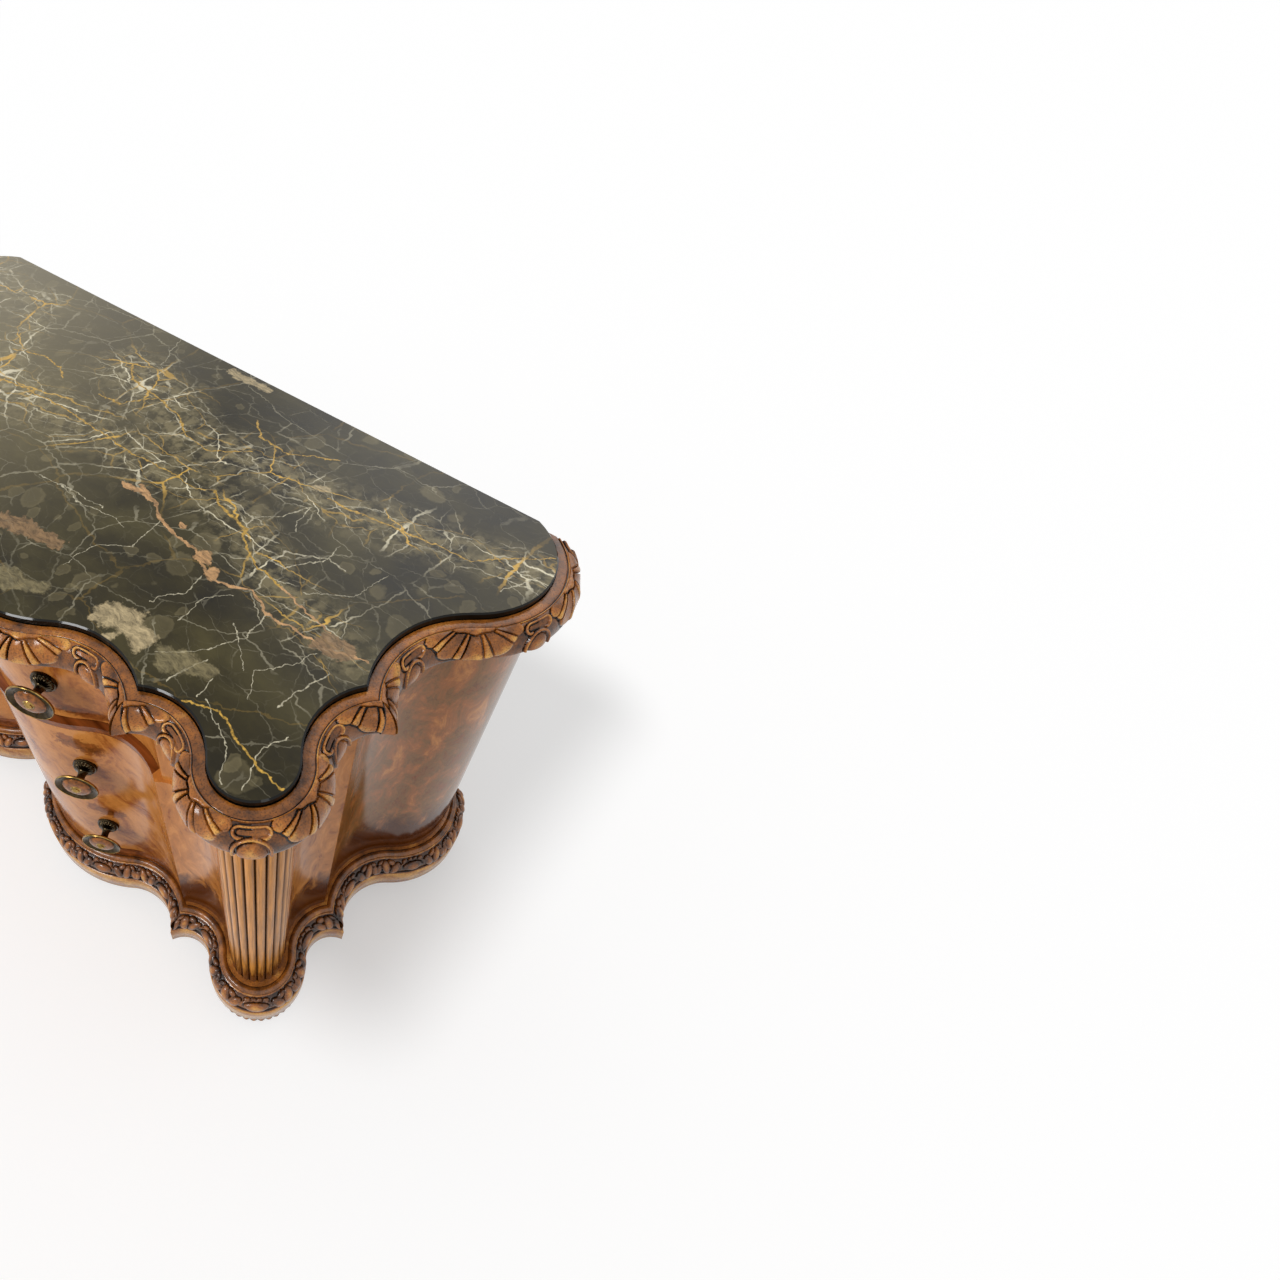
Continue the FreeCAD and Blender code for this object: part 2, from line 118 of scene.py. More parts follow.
class CommodeColours(bpy.types.PropertyGroup):
    """Colours of the stone, woods and metals."""
    stone_dark: colour_setting("Darkest ground of the marble", "#141006")
    stone_mid: colour_setting("Usual ground of the marble", "#352E12")
    stone_pale: colour_setting("Paler clouds of the marble", "#504826")
    vein_white: colour_setting("Calcite threads of the marble", "#F0E6C6")
    vein_gold: colour_setting("Ochre threads of the marble", "#E2B450")
    vein_pink: colour_setting("Rusty pink patches of the marble", "#E8B47C")
    fossil: colour_setting("Beige streaked fossils of the marble", "#EAD2A2")
    rust: colour_setting("Brown patches of the marble", "#A8845C")
    # Also the colour of the painted sheen towards the left end of the marble
    haze: colour_setting("Olive haze of the marble", "#A0926A")
    # The painted highlight on the crests of the carving
    carved_painted_highlight: colour_setting("Worn crests of the carved walnut", "#EEB258")
    carved_crest: colour_setting("Usual colour of the carved walnut", "#AE6826")
    carved_ground: colour_setting("Plain ground between the motifs", "#4C2A10")
    # Painted shade in the grooves and cuts of the carving and between the reeds, and the colour of the pores
    carved_shade_and_pores: colour_setting("Dark polish left in the grooves", "#0D0502")
    veneer_pale: colour_setting("Pale figure of the walnut veneer", "#DA924A")
    veneer_mid: colour_setting("Usual colour of the walnut veneer", "#BA7636")
    veneer_tan: colour_setting("Tan of the canted corners", "#C8803C")
    veneer_red: colour_setting("Red clouds of the walnut veneer", "#9A5424")
    # Also the colour of the painted shade and reflection of the plinth at the foot of the veneers and reeds
    veneer_dark_and_painted_shade: colour_setting("Dark figure of the walnut veneer", "#562708")
    burr_grey: colour_setting("Grey-brown swirls of the side panels", "#8E6434")
    burr_rust: colour_setting("Rusty clouds of the side panels", "#B06C36")
    column_wood: colour_setting("Reeds of the columns", "#EC9C3E")
    inside_wood: colour_setting("Plain wood inside the chest", "#B08A5C")
    brass: colour_setting("Rims and buttons of the knobs", "#B08E50")
    bronze: colour_setting("Blackened rosette and dish of the knobs", "#4A3E2C")
    centre_wood: colour_setting("Copper-brown centre of the knobs", "#A4622A")
    floor: colour_setting("Studio floor", "#C8C8C8")


def sizes():
    return bpy.context.scene.commode_sizes


def colours():
    return bpy.context.scene.commode_colours


# Plan geometry in complex numbers, millimetres

def reach(name, offset):
    """Radius of an arc of the outline moved outwards by an offset."""
    return OUTLINE[name].radius + OUTLINE[name].turn * offset


@functools.lru_cache(maxsize=None)
def meeting(first, second, offset):
    """Point where two neighbouring arcs meet: a smooth joint, or a mitre between two hollows."""
    gap = OUTLINE[second].centre - OUTLINE[first].centre
    ahead = gap / abs(gap)
    if OUTLINE[first].turn != OUTLINE[second].turn:
        return OUTLINE[first].centre + ahead * reach(first, offset)
    along = (reach(first, offset) ** 2 - reach(second, offset) ** 2 + abs(gap) ** 2) / (2 * abs(gap))
    across = math.sqrt(reach(first, offset) ** 2 - along ** 2)
    points = [OUTLINE[first].centre + ahead * complex(along, side * across) for side in (1, -1)]
    return min(points, key=abs)


@functools.lru_cache(maxsize=None)
def sweep(name, offset):
    """Start angle and swept angle of one arc at an offset."""
    arc = OUTLINE[name]
    place = ARC_NAMES.index(name)
    if place == 0:
        start = math.pi / 2
    else:
        start = cmath.phase(meeting(ARC_NAMES[place - 1], name, offset) - arc.centre)
    if place == len(ARC_NAMES) - 1:
        end = math.asin(min(1.0, (BACK_LINE - arc.centre.imag) / reach(name, offset)))
    else:
        end = cmath.phase(meeting(name, ARC_NAMES[place + 1], offset) - arc.centre)
    return start, arc.turn * ((arc.turn * (end - start)) % math.tau)


def plan_point(name, share, offset, proud=0.0):
    """Point a share of the way along an arc at an offset, standing proud of it."""
    start, turned = sweep(name, offset)
    return OUTLINE[name].centre + cmath.rect(reach(name, offset + proud), start + share * turned)


def stations(run, offset, step):
    """Places along a run, about a step apart: arc, share of the arc, distance from the run's start."""
    places = []
    travelled = 0.0
    for name in RUNS[run][0]:
        length = abs(sweep(name, offset)[1]) * reach(name, offset)
        count = math.ceil(length / step)
        first = 1 if places else 0
        places += [(name, i / count, travelled + length * i / count) for i in range(first, count + 1)]
        travelled += length
    return places


# Relief of the carving, millimetres. Each function returns the height of a point and its tone, which paints
# shade and highlight: CUT in a groove painted dark as shade, GROUND on the plain band and 1 on a crest
# painted light as highlight. Motifs are drawn in or out to suit their space
GROUND = 0.38
CUT = 0.0
GROOVE = (-1.0, CUT)
SHELL_SPACE = 62
PLINTH_SPACE = 140


def rounded(share):
    """Height of a round hump from its middle at 0 to its edge at 1."""
    return math.sqrt(max(0.0, 1 - share * share))


def shell(x, y, end_facet):
    """Fanned shell: five dished petals and four ribs under a small leaf, split by a facet at a mitre."""
    fan_top, fan_half, pitch, petal_half = 11.0, 76.0, 33.0, 11.5
    petal_length, leaf_half, facet_slope = 57, 19, 0.36
    petal_height = sizes().petal_height / MM
    radius = math.hypot(x, y + fan_top)
    turn = math.degrees(math.atan2(x, y + fan_top))
    height, tone = 0.0, GROUND
    inside = facet_slope * y - abs(x)
    if end_facet and inside > 0:
        return 2.4, CUT if inside < 1.2 else 0.6
    if abs(turn) < fan_half:
        local = abs((turn + pitch / 2) % pitch - pitch / 2)
        past_edge = math.radians(local - petal_half) * radius
        tip = petal_length - 10 * (turn / fan_half) ** 2 - 4 * min(1.0, local / petal_half) ** 2
        ending = tip - radius
        # Petals are painted shade: darker towards the middle of the fan and lighter towards their tips. Ribs
        # and the leaf are painted lighter as highlight where they swell
        shade = 0.36 + 0.5 * min(1.0, radius / petal_length) ** 2
        if abs(past_edge) < 0.9 and ending > 0 or -2.0 < ending <= 0:
            height, tone = GROOVE
        elif ending > 0 and past_edge < 0:
            dish = 0.7 + 0.3 * (local / petal_half) ** 2
            height, tone = petal_height * dish * rounded(1 - min(1.0, ending / 4)), shade
        elif ending > 0:
            across = (pitch / 2 - local) / (pitch / 2 - petal_half)
            swell = rounded(0.9 * across) * rounded(1 - min(1.0, ending / 3))
            height, tone = 1.25 * petal_height * swell, shade + 0.2 * swell
    leaf_edge = 8.5 * (1 - (x / leaf_half) ** 2) + 1.3 * math.cos(x / 2.6) - y
    if leaf_edge > 0 and abs(x) < leaf_half:
        swell = rounded(1 - min(1.0, leaf_edge / 3.5))
        height, tone = sizes().leaf_height / MM * swell, 0.3 + 0.35 * swell
    elif leaf_edge > -1.8 and abs(x) < leaf_half:
        height, tone = GROOVE
    return height, tone


def cartouche(x, y, band):
    """Sunk panel in a raised rim, over a domed cabochon in a horseshoe."""
    rim_height = sizes().rim_height / MM
    panel_y, half_x, half_y, corner, rim_width = 12.5, 18.0, 5.0, 5.0, 4.0
    over_x = max(0.0, abs(x) - half_x + corner)
    over_y = max(0.0, abs(y - panel_y) - half_y + corner)
    outside = math.hypot(over_x, over_y) - corner
    height, tone = 0.0, GROUND
    if outside < 0:
        height, tone = GROOVE if outside > -1.8 else (0.4, 0.45)
    elif outside < rim_width:
        # Rim and cabochon are painted lighter as highlight where they stand highest; grooves are painted dark
        # as shade
        swell = rounded(abs(outside / rim_width - 0.5) * 2)
        height, tone = rim_height * swell, 0.2 + 0.6 * swell
    elif outside < rim_width + 2.0:
        height, tone = GROOVE
    egg = math.hypot(x / 15.0, (y - band + 4) / 14.5)
    if egg < 0.95:
        return sizes().cabochon_height / MM * rounded(egg), 0.3 + 0.4 * rounded(egg)
    if egg < 1.1:
        return GROOVE
    if egg < 1.36:
        swell = rounded(abs(egg - 1.23) / 0.13)
        return max(height, (rim_height + 1.0) * swell), 0.2 + 0.6 * swell
    if egg < 1.46:
        return GROOVE
    return height, tone


def cornice_relief(run, distance, length, y, band):
    """Shells on the even places of a run and cartouches on the odd ones."""
    count = RUNS[run][1]
    interval = length / count
    before = min(int(distance / interval), count - 1)
    height, tone = 0.0, GROUND
    for place in (before, before + 1):
        x = distance - place * interval
        if place % 2:
            found = cartouche(x, y, band)
        else:
            found = shell(x * SHELL_SPACE / interval, y, run == "corner" and place in (0, count))
        if found[0] > height or found[1] == CUT and height < 1:
            height, tone = found
    return height, tone


# Oval, buds and leaves of half a motif on the plinth: distance from its middle, share of the band's height,
# half-length, half-width, lean in degrees and height
PLINTH_LEAVES = (
    (0.0, 0.60, 19.0, 10.0, 0, 6.5),
    (5.0, 0.14, 5.0, 4.2, 0, 4.6),
    (15.5, 0.19, 5.8, 4.8, 20, 4.8),
    (34.5, 0.64, 15.0, 8.2, 58, 6.2),
    (42.0, 0.24, 8.6, 5.6, -35, 5.4),
    (51.5, 0.58, 18.0, 8.4, 106, 6.6),
    (62.5, 0.22, 6.6, 4.6, 40, 4.6),
    (66.5, 0.68, 12.5, 6.6, 78, 5.8),
)


def plinth_relief(run, distance, length, y, band):
    """Ovals in a curled rim under small buds, with overlapping leaves on each side."""
    interval = length / RUNS[run][2]
    place = math.floor(distance / interval)
    x = abs(distance - (place + 0.5) * interval) * PLINTH_SPACE / interval
    heights = [0.0, 0.0]
    edge = False
    for middle, share, half_length, half_width, lean, lift in PLINTH_LEAVES:
        away = complex(x - middle, y - share * band) * cmath.rect(1, math.radians(-lean))
        reached = math.hypot(away.real / half_length, away.imag / half_width)
        if reached < 1:
            heights.append(lift * rounded(reached))
        edge = edge or 1 <= reached < 1.1
    under, height = sorted(heights)[-2:]
    _, share, half_length, half_width, _, _ = PLINTH_LEAVES[0]
    curl = math.hypot(x / half_length, (y - share * band) / half_width)
    if 1.12 < curl < 1.42 and y < 0.72 * band and height < 1.5:
        height = 3.0 * rounded(abs(curl - 1.27) / 0.15)
    # Crevices where leaves overlap are painted dark as shade; leaves are painted lighter as they rise, and
    # lighter still on their crests as highlight
    if under > 0 and height - under < 0.6:
        return 0.6 * height, CUT
    if height == 0 and edge:
        return GROOVE
    return height, 0.25 + 0.03 * height + 0.17 * max(0.0, height - 4.8)


# Mouldings swept along the runs

Row = collections.namedtuple("Row", "offset level out up band tone")


def plain_rows(points, tone=0.6):
    return [Row(offset, level, 0, 0, None, tone) for offset, level in points]


def band_rows(low, high, step):
    """Rows down a quarter of an ellipse, with the way their relief stands out, and the curve's length."""
    out_span, up_span = low[0] - high[0], high[1] - low[1]
    length = math.pi / 2 * math.sqrt((out_span ** 2 + up_span ** 2) / 2)
    count = math.ceil(length / step)
    rows = []
    for i in range(count + 1):
        angle = math.pi / 2 * i / count
        normal = complex(math.sin(angle) / out_span, math.cos(angle) / up_span)
        normal /= abs(normal)
        offset = high[0] + out_span * math.sin(angle)
        level = low[1] + up_span * math.cos(angle)
        rows.append(Row(offset, level, normal.real, normal.imag, length * i / count, GROUND))
    return rows, length


def carved_moulding(run, rows, band, relief, step):
    """Closed moulding along a run: a grid is wrapped round the rows and its carving raised."""
    places = stations(run, MOTIF_OFFSET, step)
    length = places[-1][2]
    bm = bmesh.new()
    layer = bm.verts.layers.float.new("tone")
    columns, loops = len(places) - 1, len(rows)
    bmesh.ops.create_grid(bm, x_segments=columns, y_segments=loops, size=0.5)
    for vert in bm.verts:
        name, share, distance = places[round((vert.co.x + 0.5) * columns)]
        row = rows[round((vert.co.y + 0.5) * loops) % loops]
        height, tone = 0.0, row.tone
        if row.band is not None:
            height, tone = relief(run, distance, length, row.band, band)
        point = plan_point(name, share, row.offset, height * row.out)
        vert.co = Vector((point.real, min(point.imag, BACK_LINE), row.level + height * row.up)) * MM
        vert[layer] = tone
    return bm


def close_mesh(bm):
    """Merges doubles, fills open ends and turns every face outwards."""
    bmesh.ops.remove_doubles(bm, verts=bm.verts, dist=WELD)
    edges = [edge for edge in bm.edges if edge.is_boundary]
    bmesh.ops.holes_fill(bm, edges=edges, sides=0)
    bmesh.ops.recalc_face_normals(bm, faces=bm.faces)


def mirror_copy(bm):
    """The same shape on the other side of the middle plane."""
    copy = bm.copy()
    bmesh.ops.scale(copy, vec=(-1, 1, 1), verts=copy.verts)
    bmesh.ops.recalc_face_normals(copy, faces=copy.faces)
    return copy


def both_halves(bm):
    """Mirrors half a front across the middle plane and joins it there."""
    everything = bm.verts[:] + bm.edges[:] + bm.faces[:]
    bmesh.ops.mirror(bm, geom=everything, matrix=Matrix.Identity(4), merge_dist=2 * WELD, axis="X")


def piece(name, bm, material, body, nodes, sharp=50):
    """Finishes a mesh as a piece that stands for CAD nodes and rides on a body."""
    mesh = bpy.data.meshes.new(name)
    bm.to_mesh(mesh)
    bm.free()
    mesh.shade_smooth()
    mesh.set_sharp_from_angle(angle=math.radians(sharp))
    made = bpy.data.objects.new(name, mesh)
    bpy.context.scene.collection.objects.link(made)
    made.data.materials.append(material)
    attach(made, body)
    if nodes:
        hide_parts(*nodes)
    return made


def dress(material, *nodes):
    """Gives CAD nodes a finish and leaves their shape alone."""
    for name in nodes:
        for slot in frame["nodes"][name].material_slots:
            slot.material = material


def turned(profile, steps):
    """Solid of revolution about Z from a profile of radius and height, millimetres."""
    bm = bmesh.new()
    verts = [bm.verts.new(Vector((radius, 0, height)) * MM) for radius, height in profile]
    edges = [bm.edges.new(pair) for pair in zip(verts, verts[1:])]
    bmesh.ops.spin(
        bm, geom=verts + edges, cent=(0, 0, 0), axis=(0, 0, 1), angle=math.tau, steps=steps, use_merge=True)
    bmesh.ops.remove_doubles(bm, verts=bm.verts, dist=0.005 * MM)
    bmesh.ops.recalc_face_normals(bm, faces=bm.faces)
    return bm


def join(target, other):
    """Adds a second mesh to the first."""
    mesh = bpy.data.meshes.new("joined")
    other.to_mesh(mesh)
    other.free()
    target.from_mesh(mesh)
    bpy.data.meshes.remove(mesh)


def carve(moulding, rows, band, relief, step, material):
    """Carves a moulding along every run, in place of the CAD mouldings of its name."""
    for run in RUNS:
        bm = carved_moulding(run, rows, band, relief, step)
        if run == "front":
            bmesh.ops.remove_doubles(bm, verts=bm.verts, dist=WELD)
            both_halves(bm)
        close_mesh(bm)
        halves = {"": bm} if run == "front" else {"_right": bm, "_left": mirror_copy(bm)}
        for side, half in halves.items():
            name = f"{moulding}_{run}{side}"
            piece("carved_" + name, half, material, "carcase", [name])


# Materials

# The setting of each kind of node that has one
SETTINGS = {
    "Math": "operation",
    "VectorMath": "operation",
    "Mix": "data_type",
    "MapRange": "interpolation_type",
    "TexVoronoi": "feature",
    "Attribute": "attribute_name",
}


def node(tree, kind, inputs=(), setting=None, out=0, stops=(), **named):
    """Adds a node and returns one of its outputs, or the node itself for None.

    Inputs are filled or linked, in order from the first, by number or by name. A MapRange takes its value,
    then the span it comes from and the span it goes to. A Mix of colours has its factor in 0, and its colours
    in 6 and 7.
    """
    made = tree.nodes.new("ShaderNode" + kind)
    if setting:
        setattr(made, SETTINGS[kind], setting)
    for place, (position, colour) in enumerate(stops):
        elements = made.color_ramp.elements
        element = elements[place] if place < 2 else elements.new(position)
        element.position = position
        element.color = (*colour, 1)
    numbered = inputs.items() if isinstance(inputs, dict) else enumerate(inputs)
    for name, value in (*numbered, *named.items()):
        socket = made.inputs[name]
        if isinstance(value, bpy.types.NodeSocket):
            tree.links.new(value, socket)
        else:
            socket.default_value = (*value, 1) if socket.type == "RGBA" else value
    return made if out is None else made.outputs[out]


def new_material(name):
    """Empty material, the call that adds its nodes and its Object coordinates."""
    material = bpy.data.materials.new(name)
    material.use_nodes = True
    material.node_tree.nodes.clear()
    add = functools.partial(node, material.node_tree)
    return material, add, add("TexCoord", out="Object")


def finished(material, add, sockets):
    """Ends a material in a shader with these sockets."""
    add("OutputMaterial", Surface=add("BsdfPrincipled", sockets), out=None)
    return material


def seen_as_white(add):
    """1 for the rays that show the background as it is, 0 for those that only light the chest."""
    path = add("LightPath", out=None).outputs
    seen = add("Math", (path["Is Camera Ray"], path["Is Glossy Ray"]), "MAXIMUM")
    return add("Math", (seen, path["Is Transmission Ray"]), "MAXIMUM")


def shaded(colour, share):
    return [channel * share for channel in colour]


def studio_floor():
    # Matt white card: even white, with a soft shadow under and behind the chest, where it glows less
    material, add, place = new_material("matt_white_card")
    shadow_middle, shadow_half = (0, 0.42, 0), (0.78, 0.44, 0)
    from_middle = add("VectorMath", (place, shadow_middle), "SUBTRACT")
    beside = add("VectorMath", (from_middle,), "ABSOLUTE")
    past = add("VectorMath", (beside, shadow_half), "SUBTRACT")
    outside = add("VectorMath", (past, (0, 0, 0)), "MAXIMUM")
    away = add("VectorMath", (outside,), "LENGTH", "Value")
    level = add("MapRange", (away, 0, 0.25, 0.38, 0.64), "SMOOTHSTEP")
    glow = add("Math", (seen_as_white(add), level), "MULTIPLY")
    return finished(material, add, {
        "Base Color": colours().floor, "Roughness": 0.9, "Specular IOR Level": 0.0,
        "Emission Color": (1, 1, 1), "Emission Strength": glow})


def carved_walnut(name, gloss):
    # Carved walnut, stained and French polished: crests painted orange as highlight, cuts painted dark as
    # shade, fine pores
    material, add, place = new_material(name)
    c = colours()
    tone = add("Attribute", setting="tone", out="Fac")
    # Pores about 2 mm long, drawn a little coarse so that they show, and clouds of stain about 30 mm across
    grain = add("TexNoise", Vector=place, Scale=480, Detail=3, Roughness=0.6)
    cloud = add("TexNoise", Vector=place, Scale=34, Detail=5, Roughness=0.6)
    stain = add("MapRange", (cloud, 0.25, 0.75, -0.3, 0.3))
    # The tone paints shade in the cuts and highlight on the crests; the stain shifts it
    worn = add("Math", (tone, stain), "ADD")
    # The stain may darken a cut but never lighten it
    cut = add("Math", (worn, tone), "MINIMUM")
    kept = add("MapRange", (tone, 0.05, 0.3))
    level = add("Mix", {0: kept, 2: cut, 3: worn})
    colour = add("ValToRGB", Fac=level, stops=(
        (0.0, c.carved_shade_and_pores), (1.0, c.carved_painted_highlight), (0.28, c.carved_ground), (0.66, c.carved_crest)))
    speck = add("MapRange", (grain, 0.50, 0.66, 0, 0.6))
    colour = add("Mix", {0: speck, 6: colour, 7: c.carved_shade_and_pores}, "RGBA", 2)
    rough = add("MapRange", (cloud, 0, 1, 0.12, 0.28))
    # Gouge marks about 5 mm across under the polish
    gouge = add("TexNoise", Vector=place, Scale=190, Detail=1)
    dents = add("Bump", Height=gouge, Strength=0.25, Distance=0.0014)
    bump = add("Bump", Height=grain, Strength=0.15, Distance=0.0004, Normal=dents)
    return finished(material, add, {
        "Base Color": colour, "Roughness": rough, "Specular IOR Level": gloss, "Normal": bump})


def french_polished(material, add, place, colour, noise, painted_reflection_and_shade, ripple, shine):
    """Ends a polished wood: height and strength of the painted reflection and shade over the plinth, strength
    and depth of ripple, roughness, gloss.
    """
    # Painted shade and painted reflection of the dark plinth: darkest over the plinth, thinning out, ragged,
    # upwards
    top, strength = painted_reflection_and_shade
    raggedness, fade_start, fade_end = 0.16, 0.02, 0.08
    height = add("SeparateXYZ", {0: place}, out="Z")
    ragged = add("Math", (noise, raggedness, height), "MULTIPLY_ADD")
    painted_darkening = add("MapRange", (ragged, top + fade_start, top + fade_end, strength, 0.0))
    colour = add("Mix", {0: painted_darkening, 6: colour, 7: colours().veneer_dark_and_painted_shade}, "RGBA", 2)
    bump = add("Bump", Height=noise, Strength=ripple[0], Distance=ripple[1])
    return finished(material, add, {
        "Base Color": colour, "Roughness": shine[0], "Specular IOR Level": shine[1], "Normal": bump})


def grained(name, dark, light, span, noise, sockets, stretch=None):
    """Material that is dark where a noise is low and light where it is high, over a span of the noise."""
    material, add, place = new_material(name)
    if stretch:
        place = add("Mapping", Vector=place, Scale=stretch)
    grain = add("TexNoise", Vector=place, **noise)
    colour = add("ValToRGB", Fac=grain, stops=((span[0], dark), (span[1], light)))
    return finished(material, add, {"Base Color": colour, **sockets})


# Painted reflections of the knobs in the polish of the drawers, dark patches that mirror each other about
# the middle: half-width, then points along them, across and up the front, millimetres
PAINTED_KNOB_REFLECTIONS = (
    (22, (318+580j, 352+560j)),
    (20, (320+356j, 354+340j)),
    (14, (318+650j, 372+640j)),
)


def flame_veneer():
    # Flame-figured walnut veneer, book matched and French polished to a mirror: tan and rosy clouds in soft
    # leaning feathers, with a painted dark reflection of each knob over it
    material, add, place = new_material("flame_walnut_veneer")
    c = colours()
    matched = add("VectorMath", (place,), "ABSOLUTE")
    # Feathers about 60 mm wide and 110 mm long, leaning outwards as they rise, over clouds of about 140 mm
    # and curls of about 17 mm
    leaning = add("Mapping", Vector=matched, Rotation=(0, math.radians(32), 0))
    drawn = add("Mapping", Vector=leaning, Scale=(16, 16, 9))
    level = add("TexNoise", Vector=drawn, Scale=1, Detail=6, Roughness=0.6, Distortion=1.3)
    cloud = add("TexNoise", Vector=matched, Scale=7, Detail=3)
    curl = add("TexNoise", Vector=matched, Scale=60, Detail=4, Roughness=0.7, Distortion=1.0)
    for noise, share in ((cloud, 0.45), (curl, 0.34)):
        centred = add("Math", (noise, share, -0.5 * share), "MULTIPLY_ADD")
        level = add("Math", (level, centred), "ADD")
    colour = add("ValToRGB", Fac=level, stops=(
        (0.20, c.veneer_dark_and_painted_shade), (0.70, c.veneer_pale), (0.34, c.veneer_red), (0.50, c.veneer_tan)))
    # Pores as dark threads 2 mm wide and 30 mm long, drawn a little coarse so that they show
    thread = add("Mapping", Vector=leaning, Scale=(600, 600, 30))
    pores = add("TexNoise", Vector=thread, Scale=1, Detail=3)
    lines = add("MapRange", (pores, 0.52, 0.80, 0, 0.24))
    parts = add("SeparateXYZ", {0: matched}, out=None).outputs
    upright = add("CombineXYZ", X=parts["X"], Y=parts["Z"])
    # Painted reflections of the knobs: ragged dark patches over each knob, mirrored about the middle
    figure = vein_mask(add, upright, PAINTED_KNOB_REFLECTIONS)
    torn = add("Math", (curl, 2.5, figure), "MULTIPLY_ADD")
    shown = add("MapRange", (torn, 1.4, 1.7, 0, 0.85))
    knob_reflection_tint = add("ValToRGB", Fac=curl, stops=((0.40, c.veneer_dark_and_painted_shade), (0.66, c.veneer_red)))
    for mask, tint in ((lines, c.veneer_dark_and_painted_shade), (shown, knob_reflection_tint)):
        colour = add("Mix", {0: mask, 6: colour, 7: tint}, "RGBA", 2)
    # The painted shade and reflection of the plinth darken the foot of the fronts a little
    return french_polished(material, add, place, colour, cloud, (0.22, 0.35), (0.05, 0.002), (0.14, 0.17))


def mottled_veneer():
    # Mottled walnut veneer on the canted corners, French polished: pale tan curls, and painted shade and
    # reflection of the plinth at their foot
    material, add, place = new_material("mottled_walnut_veneer")
    c = colours()
    matched = add("VectorMath", (place,), "ABSOLUTE")
    # Curls of about 30 mm, drawn out upwards, with finer ones in them
    drawn = add("Mapping", Vector=matched, Scale=(34, 34, 15))
    mottle = add("TexNoise", Vector=drawn, Scale=1, Detail=6, Roughness=0.62, Distortion=1.2)
    colour = add("ValToRGB", Fac=mottle, stops=(
        (0.34, c.veneer_red), (0.66, c.veneer_pale), (0.43, c.veneer_mid), (0.54, c.veneer_tan)))
    return french_polished(material, add, place, colour, mottle, (0.32, 0.95), (0.04, 0.002), (0.14, 0.14))


def straight_veneer():
    # Straight-grained walnut veneer on the rails, French polished: dark amber with lines about 11 mm wide.
    # The dark amber is painted shade, for the rails lie under the cornice and the drawers
    c = colours()
    return grained("straight_walnut_veneer", c.veneer_dark_and_painted_shade, c.veneer_red, (0.32, 0.70),
                   {"Scale": 1, "Detail": 5, "Roughness": 0.6},
                   {"Roughness": 0.2, "Specular IOR Level": 0.25}, (6, 90, 90))


def walnut_burr():
    # Burr walnut veneer, French polished: brown mottle with rusty clouds, grey swirls and dark threads
    material, add, place = new_material("burr_walnut_veneer")
    c = colours()
    # Mottle of about 35 mm, drawn out upwards
    drawn = add("Mapping", Vector=place, Scale=(1.6, 1.6, 0.9))
    mottle = add("TexNoise", Vector=drawn, Scale=17, Detail=7, Roughness=0.68, Distortion=0.5)
    colour = add("ValToRGB", Fac=mottle, stops=(
        (0.30, c.veneer_red), (0.70, c.veneer_pale), (0.46, c.burr_grey), (0.58, c.burr_rust)))
    # Dark curling threads 1 mm wide and 10 to 20 mm apart
    swirl = add("TexNoise", Vector=drawn, Scale=34, Detail=4, Distortion=1.5)
    curl = add("Math", (swirl, 0.25), "PINGPONG")
    kept = add("MapRange", (mottle, 0.56, 0.40, 0, 0.5))
    thread = add("MapRange", (curl, 0.03, 0.0))
    lines = add("Math", (thread, kept), "MULTIPLY")
    colour = add("Mix", {0: lines, 6: colour, 7: c.veneer_dark_and_painted_shade}, "RGBA", 2)
    # The painted shade and reflection of the plinth darken the foot of the side panels
    return french_polished(material, add, place, colour, mottle, (0.31, 0.95), (0.05, 0.002), (0.12, 0.3))


def reeded_wood():
    # Solid walnut reeds, French polished: tan along the crests with fine fibres, painted dark as shade
    # between
    material, add, place = new_material("french_polished_walnut_reeds")
    c = colours()
    tone = add("Attribute", setting="tone", out="Fac")
    # Fibres about 3 mm wide and 70 mm long, drawn a little coarse so that they show
    fibres = add("Mapping", Vector=place, Scale=(330, 330, 14))
    grain = add("TexNoise", Vector=fibres, Scale=1, Detail=4, Roughness=0.6)
    board = add("ValToRGB", Fac=grain, stops=((0.30, shaded(c.column_wood, 0.5)), (0.66, c.column_wood)))
    colour = add("Mix", {0: tone, 6: c.carved_shade_and_pores, 7: board}, "RGBA", 2)
    # The painted shade and reflection of the plinth darken the foot of the reeds
    return french_polished(material, add, place, colour, grain, (0.25, 0.9), (0.06, 0.0005), (0.18, 0.08))


def plain_wood():
    # Planed poplar left without polish: pale and dull, with straight grain about 11 mm wide
    wood = colours().inside_wood
    return grained("planed_poplar", shaded(wood, 0.65), wood, (0.30, 0.70),
                   {"Scale": 90, "Detail": 5}, {"Roughness": 0.6}, (0.08, 1, 1))


def cast_brass():
    # Cast brass, lacquered and aged: yellow with brown spots about 8 mm across
    brass = colours().brass
    return grained("aged_cast_brass", shaded(brass, 0.35), brass, (0.35, 0.65),
                   {"Scale": 120, "Detail": 4}, {"Roughness": 0.24, "Metallic": 1.0})


def blackened_bronze():
    # Blackened bronze, turned and waxed: soft shine on dark brown, rubbed paler in spots about 6 mm across
    bronze = colours().bronze
    return grained("blackened_bronze", shaded(bronze, 0.4), bronze, (0.35, 0.65),
                   {"Scale": 160, "Detail": 4}, {"Roughness": 0.2, "Metallic": 1.0})


